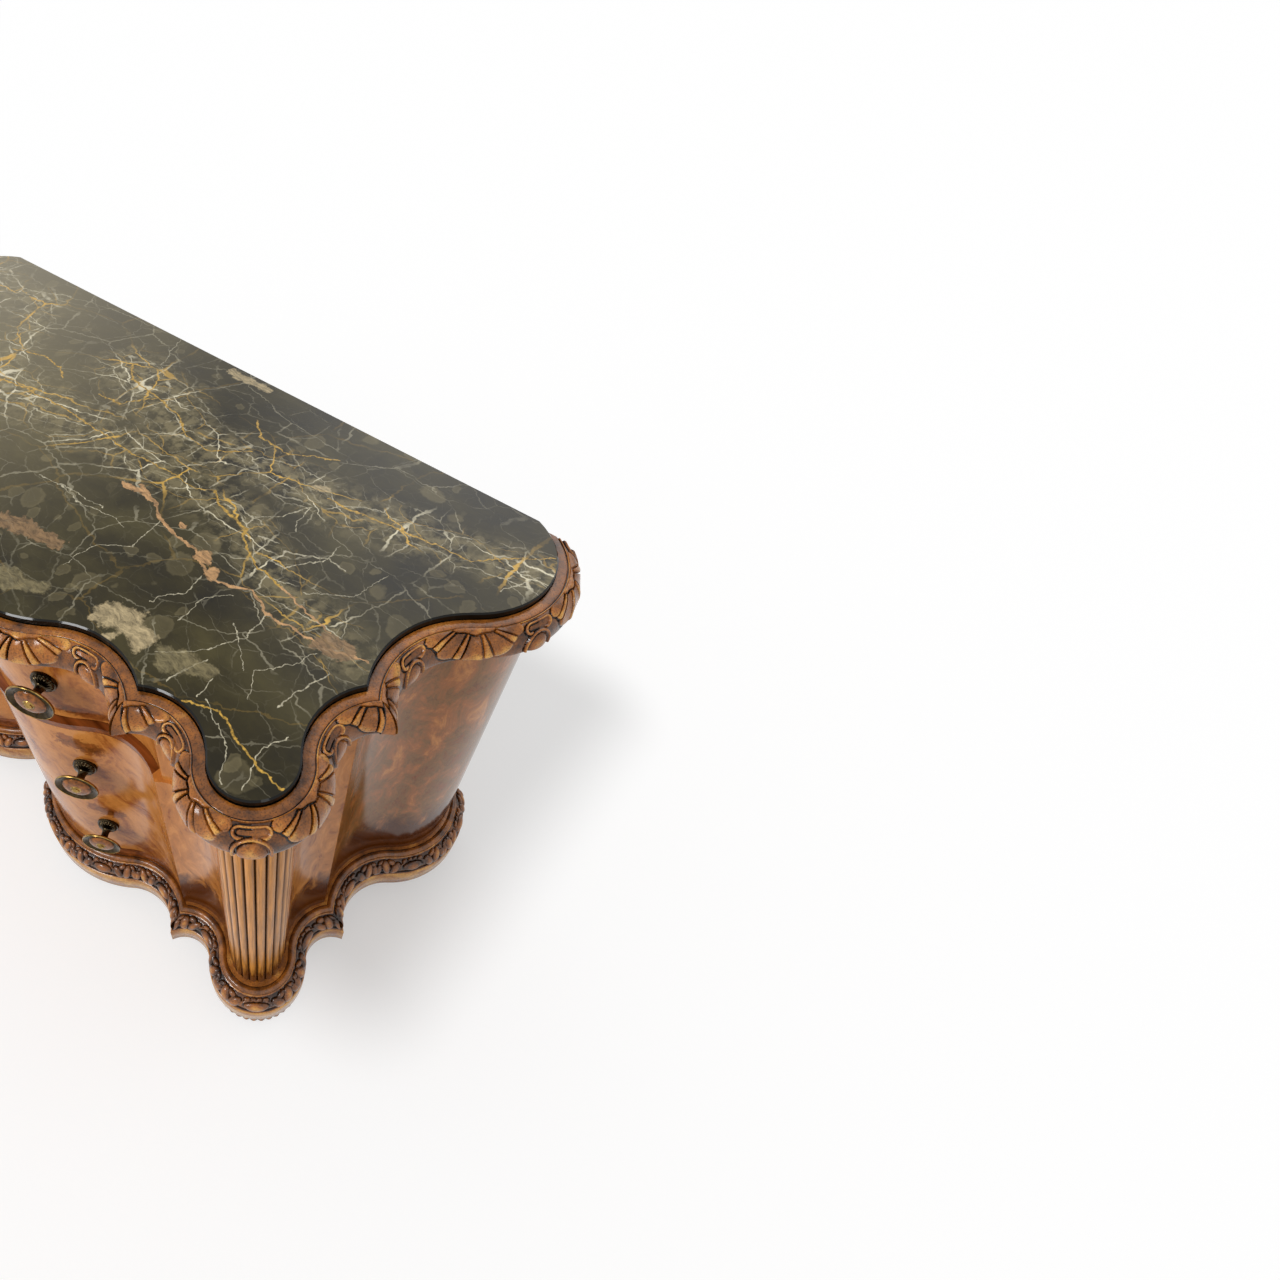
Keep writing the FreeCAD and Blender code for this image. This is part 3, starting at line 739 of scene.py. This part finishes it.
def copper_brown_wood():
    # Turned hardwood, stained copper brown and waxed: a smooth shine over dark flecks about 7 mm across
    wood = colours().centre_wood
    return grained("stained_turned_hardwood", shaded(wood, 0.35), wood, (0.35, 0.65),
                   {"Scale": 150, "Detail": 4}, {"Roughness": 0.1, "Specular IOR Level": 0.25})


def screw_steel():
    # Bright drawn steel wire: grey with marks about 3 mm long from the drawing
    return grained("drawn_steel", linear("#77787A"), linear("#B4B5B8"), (0.35, 0.65),
                   {"Scale": 300, "Detail": 2}, {"Roughness": 0.35, "Metallic": 1.0})


# Main veins, patches and bands of the marble, millimetres: half-width, then points along them in plan
PINK_VEINS = (
    (2.6, (210, 260-15j, 290-30j, 330-40j, 375-40j, 410-55j, 445-60j, 485-40j, 525-55j, 565-50j, 615-45j,
           665-25j)),
    (11, (390-40j, 398-42j)),
    (9, (424-54j, 434-58j)),
    (6, (190-18j, 225-10j, 250-14j)),
    (5, (322-20j, 330-18j)),
    (1.6, (510-10j, 550-15j, 575-20j, 605-25j)),
)
GOLD_VEINS = (
    (2.5, (300+65j, 325+50j, 395+40j, 400+25j, 425+10j, 455, 485-5j, 510-10j)),
    (2.4, (-90+215j, -45+180j, 35+175j, 110+160j, 160+130j, 220+130j, 265+175j)),
    (2.1, (-45+110j, 5+115j, 35+175j)),
    (2.1, (210+245j, 245+215j, 310+210j, 345+235j, 380+255j)),
    (2, (-295+90j, -230+120j, -175+115j, -135+95j)),
    (2, (-215+15j, -140+30j, -60+40j, 45+40j, 140+40j, 215+50j, 270+50j, 300+65j)),
    (1.8, (555-215j, 595-195j, 625-205j, 680-215j, 710-215j)),
    (2, (430+170j, 510+180j, 575+195j, 650+205j, 730+290j)),
)
WHITE_VEINS = (
    (0.85, (295-35j, 310-95j, 275-125j, 270-155j, 275-185j)),
    (0.66, (125-85j, 185-90j, 245-75j, 270-80j)),
    (1.8, (415+40j, 445+50j)),
    (1.9, (465+15j, 465+45j, 490+55j, 515+75j, 545+70j)),
    (1.4, (465+15j, 485+20j, 515+70j, 510+105j)),
    (1.2, (380+60j, 410+95j, 425+140j, 435+100j, 445+85j)),
    (1, (420-65j, 430-100j, 410-130j, 410-145j)),
    (1, (530-55j, 535-100j, 520-145j, 480-190j)),
    (1, (530-155j, 520-210j)),
    (1.2, (645-70j, 635-115j, 635-145j)),
    (0.77, (615-60j, 605-90j, 580-130j, 605-160j)),
    (0.66, (510-95j, 535-110j, 570-140j)),
    (0.66, (460-140j, 450-90j, 475-65j)),
    (0.66, (535+5j, 585+45j, 590+105j)),
    (0.94, (555-170j, 560-200j)),
    (0.85, (80-95j, 150-80j, 215-75j)),
    (0.66, (-100+340j, -50+255j, -15+230j)),
    (1, (670-165j, 660-195j, 680-245j)),
    (0.85, (570-195j, 630-220j, 660-255j)),
    (1.2, (685+220j, 720+235j, 755+230j)),
    (1, (680+200j, 710+210j, 760+215j)),
    (0.94, (710+185j, 735+240j)),
)
RUST_PATCHES = (
    (17, (610-42j, 632-34j)),
    (17, (135-190j, 165-180j, 235-165j)),
)
GREY_PATCHES = (
    (20, (496-186j, 515-177j, 540-170j)),
    (20, (215-262j, 255-245j, 290-228j)),
)
FOSSILS = (
    (23, (392-192j, 420-186j, 448-192j)),
    (8, (416-222j, 420-212j)),
    (7, (378-212j, 381-209j)),
    (12, (65+325j, 115+325j, 155+325j)),
    (9, (402+180j, 410+182j)),
)
CRACKED_BANDS = (
    (60, (-420+20j, -205+15j, -105+25j, 55+35j, 140+40j, 265+55j, 400+30j, 520-10j, 640-30j)),
    (60, (-90+200j, 60+170j, 175+125j, 250+140j, 320+165j, 430+170j, 575+195j, 740+240j)),
    (50, (-740+300j, -560+220j, -420+235j, -300+120j, -215+20j)),
    (60, (-750+110j, -600+60j, -420+20j)),
)
# A painted sheen of the polish towards the left end of the slab
PAINTED_SHEEN_PATCH = (
    (650, (-760+320j, -420-60j)),
)


def vein_mask(add, place, veins):
    """How near a point lies to the veins: 1 on their middle line, 0 at their edge and negative outside."""
    mask = None
    for half_width, points in veins:
        last = len(points) - 1
        for i, (start, end) in enumerate(zip(points, points[1:])):
            # Each vein thins towards its last point
            half = half_width * MM * (1 - 0.45 * i / last)
            gap = end - start
            run = Vector((gap.real, gap.imag, 0)) * MM
            away = add("VectorMath", (place, (start.real * MM, start.imag * MM, 0)), "SUBTRACT")
            share = add("VectorMath", (away, run / run.length_squared), "DOT_PRODUCT", "Value")
            held = add("Clamp", Value=share)
            foot = add("VectorMath", {0: run, "Scale": held}, "SCALE")
            far = add("VectorMath", (away, foot), "DISTANCE", "Value")
            near = add("Math", (far, -1 / half, 1.0), "MULTIPLY_ADD")
            if mask is not None:
                near = add("Math", (mask, near), "MAXIMUM")
            mask = near
    return mask


def polished_marble():
    # Dark olive breccia marble, sawn and polished: cracked ground with white and ochre veins, rusty pink
    # patches and beige fossils under a glassy surface
    material, add, place = new_material("polished_olive_breccia_marble")
    c = colours()
    flat = add("VectorMath", (place, (1, 1, 0)), "MULTIPLY")
    # The main veins shiver about 4 mm over 22 mm and 2 mm over 7 mm, the bedding wanders 15 mm more over
    # 200 mm, and the cracks 5 mm more over 55 mm
    bent = [flat]
    for scale, swing in ((45, 0.014), (150, 0.006), (5, 0.06), (18, 0.018)):
        noise = add("TexNoise", Vector=flat, Scale=scale, Detail=2, out="Color")
        centred = add("VectorMath", (noise, (0.5, 0.5, 0.5)), "SUBTRACT")
        bent.append(add("VectorMath", (centred, (swing, swing, 0), bent[-1]), "MULTIPLY_ADD"))
    shivering, wandering, cracking = bent[2:]
    along_the_bed = (0, 0, math.radians(12))
    bedding = add("Mapping", Vector=wandering, Rotation=along_the_bed, Scale=(0.62, 1, 1))
    patchy = add("TexNoise", Vector=flat, Scale=9, Detail=2)
    breaks = add("TexNoise", Vector=flat, Scale=42, Detail=4, Roughness=0.65)
    fine = add("TexNoise", Vector=flat, Scale=170, Detail=4, Roughness=0.7)
    # Ground: soft clouds about 150 mm across
    cloud = add("TexNoise", Vector=bedding, Scale=8, Detail=6, Roughness=0.62)
    colour = add("ValToRGB", Fac=cloud, stops=(
        (0.30, c.stone_dark), (0.72, c.stone_pale), (0.50, c.stone_mid)))
    # Pebbles about 20 and 40 mm across, a little paler than the ground, with a thin rim
    hazes_and_painted_sheen = []
    for scale, share in ((15, 0.66), (31, 0.70)):
        pebble = add("TexVoronoi", Vector=wandering, Scale=scale, out=None).outputs
        picked = add("SeparateColor", {0: pebble["Color"]})
        chosen = add("MapRange", (picked, share, share + 0.02))
        inside = add("ValToRGB", Fac=pebble["Distance"], stops=(
            (0.20, (0.28, 0.28, 0.28)), (0.34, (0.0, 0.0, 0.0)), (0.30, (0.42, 0.42, 0.42))))
        worn = add("Math", (inside, patchy), "MULTIPLY")
        hazes_and_painted_sheen.append(add("Math", (chosen, worn), "MULTIPLY"))
    # An olive haze in the cracked bands, and a painted sheen of the polish, paler, towards the left end
    band = vein_mask(add, wandering, CRACKED_BANDS)
    zone = add("MapRange", (band, -0.5, 0.7))
    haze = add("MapRange", (breaks, 0.42, 0.58, 0, 0.52))
    hazes_and_painted_sheen.append(add("Math", (haze, zone), "MULTIPLY"))
    painted_sheen = vein_mask(add, wandering, PAINTED_SHEEN_PATCH)
    hazes_and_painted_sheen.append(add("MapRange", (painted_sheen, 0, 1, 0, 0.62)))
    for mask in hazes_and_painted_sheen:
        colour = add("Mix", {0: mask, 6: colour, 7: c.haze}, "RGBA", 2)
    # Webs of cracks filled with calcite and ochre, coarser towards the left end: cells to the metre,
    # half-width of the lines in millimetres, and how plain they are outside and in a band
    cracked = add("Mapping", Vector=cracking, Rotation=along_the_bed, Scale=(0.6, 1, 1))
    across = add("SeparateXYZ", {0: flat}, out="X")
    coarse = add("MapRange", (across, -0.7, 0.5, 2.0, 1.0))
    for cells, half_width, least, most, tint in (
            (9, 0.85, 0.22, 0.95, c.vein_white),
            (17, 0.7, 0.1, 0.6, c.vein_white),
            (38, 0.5, 0.02, 0.22, c.vein_white),
            (7, 1.0, 0.1, 1.0, c.vein_gold),
            (14, 0.7, 0.0, 0.5, c.vein_gold)):
        web = add("TexVoronoi", setting="DISTANCE_TO_EDGE", Vector=cracked, Scale=cells)
        web = add("Math", (web, coarse), "DIVIDE")
        width = half_width * MM * cells
        drawn = add("MapRange", (web, width, 0.5 * width))
        gaps = add("TexNoise", Vector=flat, Scale=2.2 * cells, Detail=3)
        kept = add("MapRange", (gaps, 0.37, 0.52))
        spread = add("MapRange", (zone, 0, 1, least, most))
        broken = add("Math", (drawn, kept), "MULTIPLY")
        shown = add("Math", (broken, spread), "MULTIPLY")
        colour = add("Mix", {0: shown, 6: colour, 7: tint}, "RGBA", 2)
    # Fossils, main veins and patches: their mottling, how ragged, frayed and soft their edge is, and how
    # plain they are. Streaks are about 5 mm wide and 17 mm long
    streak = add("Mapping", Vector=shivering, Rotation=(0, 0, math.radians(35)), Scale=(60, 200, 1))
    streaks = add("TexNoise", Vector=streak, Scale=1, Detail=6, Roughness=0.65)
    for veins, tint, grain, ragged, frayed, soft, most in (
            (FOSSILS, c.fossil, streaks, 2.0, 0.6, 0.3, 0.7),
            (WHITE_VEINS, c.vein_white, fine, 1.8, 1.0, 0.45, 0.75),
            (GOLD_VEINS, c.vein_gold, fine, 1.8, 1.0, 0.5, 1.0),
            (PINK_VEINS, c.vein_pink, streaks, 2.2, 1.0, 0.2, 0.9),
            (RUST_PATCHES, c.rust, streaks, 2.2, 1.0, 0.2, 0.8),
            (GREY_PATCHES, c.haze, streaks, 2.0, 0.6, 0.3, 0.7)):
        mask = vein_mask(add, shivering, veins)
        bitten = add("Math", (breaks, ragged, mask), "MULTIPLY_ADD")
        torn = add("Math", (fine, frayed, bitten), "MULTIPLY_ADD")
        even = 0.5 * (ragged + frayed)
        shown = add("MapRange", (torn, even, even + soft, 0, most))
        mottled = add("ValToRGB", Fac=grain, stops=((0.34, shaded(tint, 0.28)), (0.62, tint)))
        colour = add("Mix", {0: shown, 6: colour, 7: mottled}, "RGBA", 2)
    # The edge of the slab is painted almost black as shade, where its faces turn away from the top
    facing = add("SeparateXYZ", {0: add("NewGeometry", out="Normal")}, out="Z")
    level = add("MapRange", (facing, 0.8, 0.95, 0.95, 0.0))
    colour = add("Mix", {0: level, 6: colour, 7: (0.0015, 0.0015, 0.0015)}, "RGBA", 2)
    return finished(material, add, {"Base Color": colour, "Roughness": 0.07, "Specular IOR Level": 0.22})


# Operators

class COMMODE_OT_cornice(bpy.types.Operator):
    """Carve the cornice that frames the marble."""
    bl_idname = "commode.cornice"
    bl_label = "Cornice"

    def execute(self, context):
        step = sizes().carving_step / MM
        # Rows of the section: offset from the outline and height
        band, length = band_rows((36.0, 807.0), (17.0, 839.0), step)
        rows = plain_rows([(0.6, 825.2), (0.6, 840.0), (6.0, 840.2), (12.4, 840.2), (13.6, 839.8)], 0.52)
        # The groove between the flat and the fillet is painted dark as shade
        rows += plain_rows([(14.2, 838.8), (14.9, 838.8)], CUT)
        rows += plain_rows([(15.2, 840.2), (16.4, 840.6)], 0.75)
        rows += band
        rows += plain_rows([(35.6, 804.6), (32.0, 802.6), (13.0, 800.2), (-9.6, 800.2), (-9.6, 825.2)], 0.4)
        material = carved_walnut("french_polished_carved_walnut", 0.4)
        carve("cornice", rows, length, cornice_relief, step, material)
        return {"FINISHED"}


class COMMODE_OT_plinth(bpy.types.Operator):
    """Carve the plinth under its bead."""
    bl_idname = "commode.plinth"
    bl_label = "Plinth"

    def execute(self, context):
        step = sizes().carving_step / MM
        # Rows of the section: offset from the outline and height
        band, length = band_rows((36.0, 115.5), (20.0, 141.5), step)
        rows = plain_rows([(-27.6, 153.9), (4.6, 153.9), (5.2, 153.0)], 0.6)
        # The grooves beside the bead and under the carved band are painted dark as shade
        rows += plain_rows([(5.6, 151.0)], 0.1)
        bead_middle, bead_radius = complex(11.6, 147.4), 6.4
        for turn in range(150, -46, -15):
            point = bead_middle + cmath.rect(bead_radius, math.radians(turn))
            rows += plain_rows([(point.real, point.imag)], 0.5)
        rows += plain_rows([(16.6, 142.2)], 0.1)
        rows += plain_rows([(17.0, 142.9), (18.9, 142.6)], 0.7)
        rows += band
        rows += plain_rows([(35.8, 114.2), (36.4, 113.0)], CUT)
        rows += plain_rows([(40.0, 112.6), (40.7, 111.6), (40.7, 68.0), (39.4, 66.2), (-27.6, 66.2)], 0.82)
        material = carved_walnut("french_polished_carved_walnut_plinth", 0.55)
        carve("plinth", rows, length, plinth_relief, step, material)
        return {"FINISHED"}


class COMMODE_OT_columns(bpy.types.Operator):
    """Reed the half columns on the corner posts."""
    bl_idname = "commode.columns"
    bl_label = "Reeded columns"

    def execute(self, context):
        material = reeded_wood()
        nose = OUTLINE["nose"]
        reeds, points = 10, 16
        low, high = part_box("column_right")
        groove, crest = nose.radius - 8, nose.radius - 2
        bm = bmesh.new()
        layer = bm.verts.layers.float.new("tone")
        bmesh.ops.create_grid(bm, x_segments=reeds * points, y_segments=8, size=0.5)
        for vert in bm.verts:
            along = (vert.co.x + 0.5) * reeds
            across = min(1.0, abs(along - math.floor(along) - 0.5) * 2)
            radius = groove + (crest - groove) * rounded(across)
            point = nose.centre + cmath.rect(radius, math.radians(-135 + 180 * (vert.co.x + 0.5)))
            vert.co = (point.real * MM, point.imag * MM, low.z + (high.z - low.z) * (vert.co.y + 0.5))
            # The tone paints shade, dark towards the grooves between the reeds
            vert[layer] = min(1.0, (1 - across) / 0.5)
        close_mesh(bm)
        for side, half in {"right": bm, "left": mirror_copy(bm)}.items():
            piece("reeded_column_" + side, half, material, "carcase", ["column_" + side])
        return {"FINISHED"}


class COMMODE_OT_feet(bpy.types.Operator):
    """Turn the ribbed bun feet."""
    bl_idname = "commode.feet"
    bl_label = "Bun feet"

    def execute(self, context):
        material = carved_walnut("french_polished_turned_walnut", 0.2)
        ribs = 36
        # Shares of the radius and of the height
        profile = [(0, 0), (0.62, 0), (0.76, 0.05), (0.88, 0.16), (0.96, 0.32), (1.0, 0.5), (0.97, 0.66),
                   (0.9, 0.8), (0.8, 0.9), (0.76, 0.94), (0.76, 0.997), (0, 0.997)]
        for name in ("front_foot_right", "front_foot_left", "rear_foot_right", "rear_foot_left"):
            low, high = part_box(name)
            radius = (high.x - low.x) / 2 / MM
            height = high.z / MM
            bm = turned([(r * radius, z * height) for r, z in profile], ribs * 8)
            layer = bm.verts.layers.float.new("tone")
            centre = (low + high) / 2
            for vert in bm.verts:
                vert[layer] = 0.6
                out = math.hypot(vert.co.x, vert.co.y)
                if out < 0.7 * radius * MM or vert.co.z > 0.9 * height * MM:
                    continue
                across = abs(math.sin(math.atan2(vert.co.y, vert.co.x) * ribs / 2))
                depth = sizes().rib_depth * (1 - rounded(across))
                vert.co.x *= 1 - depth / out
                vert.co.y *= 1 - depth / out
                # Ribs are painted lighter as highlight where they swell and dark as shade in the flutes
                # between
                vert[layer] = 0.25 + 0.4 * rounded(across) if across < 0.85 else CUT
            bmesh.ops.translate(bm, verts=bm.verts, vec=(centre.x, centre.y, 0))
            piece("ribbed_" + name, bm, material, "carcase", [name])
        return {"FINISHED"}


class COMMODE_OT_knobs(bpy.types.Operator):
    """Turn the dished knobs and set them on the drawers."""
    bl_idname = "commode.knobs"
    bl_label = "Knobs"

    def execute(self, context):
        brass = cast_brass()
        bronze = blackened_bronze()
        wood = copper_brown_wood()
        dish = sizes().dish_radius / MM
        # Profiles of radius and distance from the drawer
        rosette = [(0, 0.05), (20.5, 0.05), (20.5, 2), (19.6, 4), (18.2, 4.4), (17.6, 5.2), (17.0, 7.6),
                   (14.2, 9.8), (10.0, 11.4), (8.6, 12.6), (7.2, 15.0), (6.6, 19.0), (0, 19.0)]
        rim = [(dish - 2.0, 38.2), (dish - 0.7, 38.0), (dish, 39.4), (dish - 0.2, 40.8), (dish - 0.9, 41.6),
               (dish - 1.7, 41.2), (dish - 2.0, 38.2)]
        button = [(0, 42.0), (9.5, 42.0), (9.5, 43.4), (8.4, 44.6), (7.4, 44.2), (6.6, 44.6), (6.2, 46.0),
                  (4.6, 47.2), (3.8, 46.8), (3.0, 47.4), (1.6, 48.2), (0, 48.4)]
        hollow = [(0, 19.0), (6.6, 19.0), (7.0, 25.0), (10.5, 29.0), (18.0, 32.4), (27.0, 35.4), (33.0, 37.8),
                  (34.2, 39.0), (34.0, 40.6), (32.0, 39.8), (29.0, 37.4), (26.6, 36.6), (24.6, 37.4),
                  (23.4, 38.4), (0, 38.4)]
        centre = [(0, 38.2), (23.4, 38.2), (23.6, 39.4), (22.4, 41.0), (18.6, 42.6), (13.0, 43.5),
                  (9.0, 43.6), (0, 43.6)]
        for drawer in DRAWERS:
            for name, profiles, material, slot, nodes in (
                    ("_brass_rims", (rim, button), brass, "knob_brass", [drawer + "_knob_brasses"]),
                    ("_bronze_rosettes", (rosette,), bronze, "knob_bronze", []),
                    ("_bronze_dishes", (hollow,), bronze, "knob_bronze", [drawer + "_knob_dishes"]),
                    ("_wood_centres", (centre,), wood, "centre_wood", [drawer + "_knob_centres"])):
                both = bmesh.new()
                for place in self.places(drawer):
                    for profile in profiles:
                        bm = turned(profile, 72)
                        if profile is rosette:
                            self.gadroon(bm)
                        bmesh.ops.transform(bm, matrix=place, verts=bm.verts)
                        join(both, bm)
                piece(drawer + name, both, material, drawer, nodes, 35)
        return {"FINISHED"}

    def gadroon(self, bm):
        """Draws in the rosette's dome, which leaves round gadroons between."""
        gadroons, depth, foot, crown = 18, 0.10, 4.2 * MM, 10.5 * MM
        for vert in bm.verts:
            around = math.atan2(vert.co.y, vert.co.x) / math.tau * gadroons
            if foot < vert.co.z < crown:
                drawn = 1 - depth * (1 - abs(math.sin(math.pi * around)))
                vert.co.x *= drawn
                vert.co.y *= drawn

    def places(self, drawer):
        """Places of a drawer's two knobs, whose axes stand square to its bowed front."""
        low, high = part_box(drawer + "_knob_screws")
        level = (low.z + high.z) / 2
        frieze = drawer == "frieze_drawer"
        bow = OUTLINE["bow"]
        # Distance from the middle plane, and how far the drawer's front stands out from the outline
        x, proud = (308, -5) if frieze else (333, 7)
        radius = bow.radius + proud
        turn = math.asin((x - bow.centre.real) / radius)
        y = bow.centre.imag - radius * math.cos(turn)
        outwards = Matrix.Rotation(math.pi / 2, 4, "X")
        found = []
        for side in (1, -1):
            place = Matrix.Translation((side * x * MM, y * MM, level))
            found.append(place @ Matrix.Rotation(side * turn, 4, "Z") @ outwards)
        return found


class COMMODE_OT_marble(bpy.types.Operator):
    """Polish the marble top."""
    bl_idname = "commode.marble"
    bl_label = "Marble"

    def execute(self, context):
        dress(polished_marble(), "marble_top")
        return {"FINISHED"}


class COMMODE_OT_veneers(bpy.types.Operator):
    """Veneer the drawer fronts, the corners, the rails and the sides."""
    bl_idname = "commode.veneers"
    bl_label = "Veneers"

    def execute(self, context):
        dress(flame_veneer(), *[drawer + "_front" for drawer in DRAWERS])
        dress(mottled_veneer(), "corner_post_right", "corner_post_left")
        dress(straight_veneer(), "base_rail", "ledge_rail")
        dress(walnut_burr(), "side_panel_right", "side_panel_left")
        return {"FINISHED"}


class COMMODE_OT_inside(bpy.types.Operator):
    """Finish the plain wood and the screws inside the chest."""
    bl_idname = "commode.inside"
    bl_label = "Inside"

    def execute(self, context):
        parts = frame["record"]["subparts"]
        dress(plain_wood(), *[part["node"] for part in parts if part["material_slot"] == "carcase_wood"])
        dress(screw_steel(), *[drawer + "_knob_screws" for drawer in DRAWERS])
        return {"FINISHED"}


class COMMODE_OT_stage(bpy.types.Operator):
    """Set the floor, the studio light and the camera."""
    bl_idname = "commode.stage"
    bl_label = "Stage"

    def execute(self, context):
        scene = context.scene
        scene.view_settings.view_transform = "Standard"
        unlit = self.floor(scene)
        # Place and aim, size in metres and power in watts
        self.lamp(scene, "window", (0.1, -2.3, 2.2), (0.3, -0.1, 0.5), 0.7, 30, unlit)
        self.lamp(scene, "side_window", (2.4, -1.0, 1.7), (0.5, 0, 0.4), 0.5, 1.5, unlit)
        self.sky(scene)
        # The view of the photograph, whose middle lies to one side of the lens
        data = bpy.data.cameras.new("camera")
        data.lens = 18.79
        data.sensor_width = 36
        data.shift_x = 0.2953
        data.shift_y = 0.0059
        camera = bpy.data.objects.new("camera", data)
        camera.location = (0.922, -0.458, 1.457)
        camera.rotation_euler = (math.radians(40), 0, math.radians(45))
        scene.collection.objects.link(camera)
        scene.camera = camera
        return {"FINISHED"}

    def floor(self, scene):
        bm = bmesh.new()
        bmesh.ops.create_grid(bm, x_segments=1, y_segments=1, size=40)
        mesh = bpy.data.meshes.new("floor")
        bm.to_mesh(mesh)
        bm.free()
        made = bpy.data.objects.new("floor", mesh)
        scene.collection.objects.link(made)
        made.data.materials.append(studio_floor())
        # The lamps leave the floor out, so that its shadow is the soft one of the sky
        unlit = bpy.data.collections.new("lit_by_the_sky_alone")
        unlit.objects.link(made)
        unlit.collection_objects[0].light_linking.link_state = "EXCLUDE"
        return unlit

    def lamp(self, scene, name, place, aim, size, power, unlit):
        data = bpy.data.lights.new(name, "AREA")
        data.size = size
        data.energy = power
        lamp = bpy.data.objects.new(name, data)
        lamp.light_linking.receiver_collection = unlit
        lamp.location = place
        lamp.rotation_euler = (Vector(aim) - Vector(place)).to_track_quat("-Z", "Y").to_euler()
        scene.collection.objects.link(lamp)

    def sky(self, scene):
        world = bpy.data.worlds.new("studio")
        scene.world = world
        world.use_nodes = True
        world.node_tree.nodes.clear()
        add = functools.partial(node, world.node_tree)
        # A brighter patch of sky behind the chest gives the polish of the marble a soft sheen
        gaze = add("TexCoord", out="Generated")
        towards = add("VectorMath", (gaze, (-0.23, 0.74, 0.63)), "DOT_PRODUCT", "Value")
        patch = add("MapRange", (towards, 0.88, 1.0, 1.0, 2.6), "SMOOTHSTEP")
        strength = add("Mix", {0: seen_as_white(add), 2: 0.62, 3: patch})
        background = add("Background", Color=(1, 1, 1), Strength=strength)
        add("OutputWorld", Surface=background, out=None)


class COMMODE_PT_panel(bpy.types.Panel):
    """Lists the steps that dress the commode."""
    bl_label = "Serpentine commode"
    bl_idname = "COMMODE_PT_panel"
    bl_space_type = "VIEW_3D"
    bl_region_type = "UI"
    bl_category = "Commode"

    def draw(self, context):
        for step in STEPS:
            self.layout.operator(step.bl_idname)
        for group in (context.scene.commode_sizes, context.scene.commode_colours):
            for name in group.__annotations__:
                self.layout.prop(group, name)


STEPS = (COMMODE_OT_stage, COMMODE_OT_cornice, COMMODE_OT_plinth, COMMODE_OT_columns, COMMODE_OT_feet,
         COMMODE_OT_knobs, COMMODE_OT_marble, COMMODE_OT_veneers, COMMODE_OT_inside)
CLASSES = (CommodeSizes, CommodeColours, *STEPS, COMMODE_PT_panel)


def register():
    for made in CLASSES:
        bpy.utils.register_class(made)
    bpy.types.Scene.commode_sizes = bpy.props.PointerProperty(type=CommodeSizes)
    bpy.types.Scene.commode_colours = bpy.props.PointerProperty(type=CommodeColours)


def unregister():
    del bpy.types.Scene.commode_sizes
    del bpy.types.Scene.commode_colours
    for made in reversed(CLASSES):
        bpy.utils.unregister_class(made)


def main():
    register()
    bpy.ops.commode.stage()
    bpy.ops.commode.cornice()
    bpy.ops.commode.plinth()
    bpy.ops.commode.columns()
    bpy.ops.commode.feet()
    bpy.ops.commode.knobs()
    bpy.ops.commode.marble()
    bpy.ops.commode.veneers()
    bpy.ops.commode.inside()


if __name__ == "__main__":
    main()
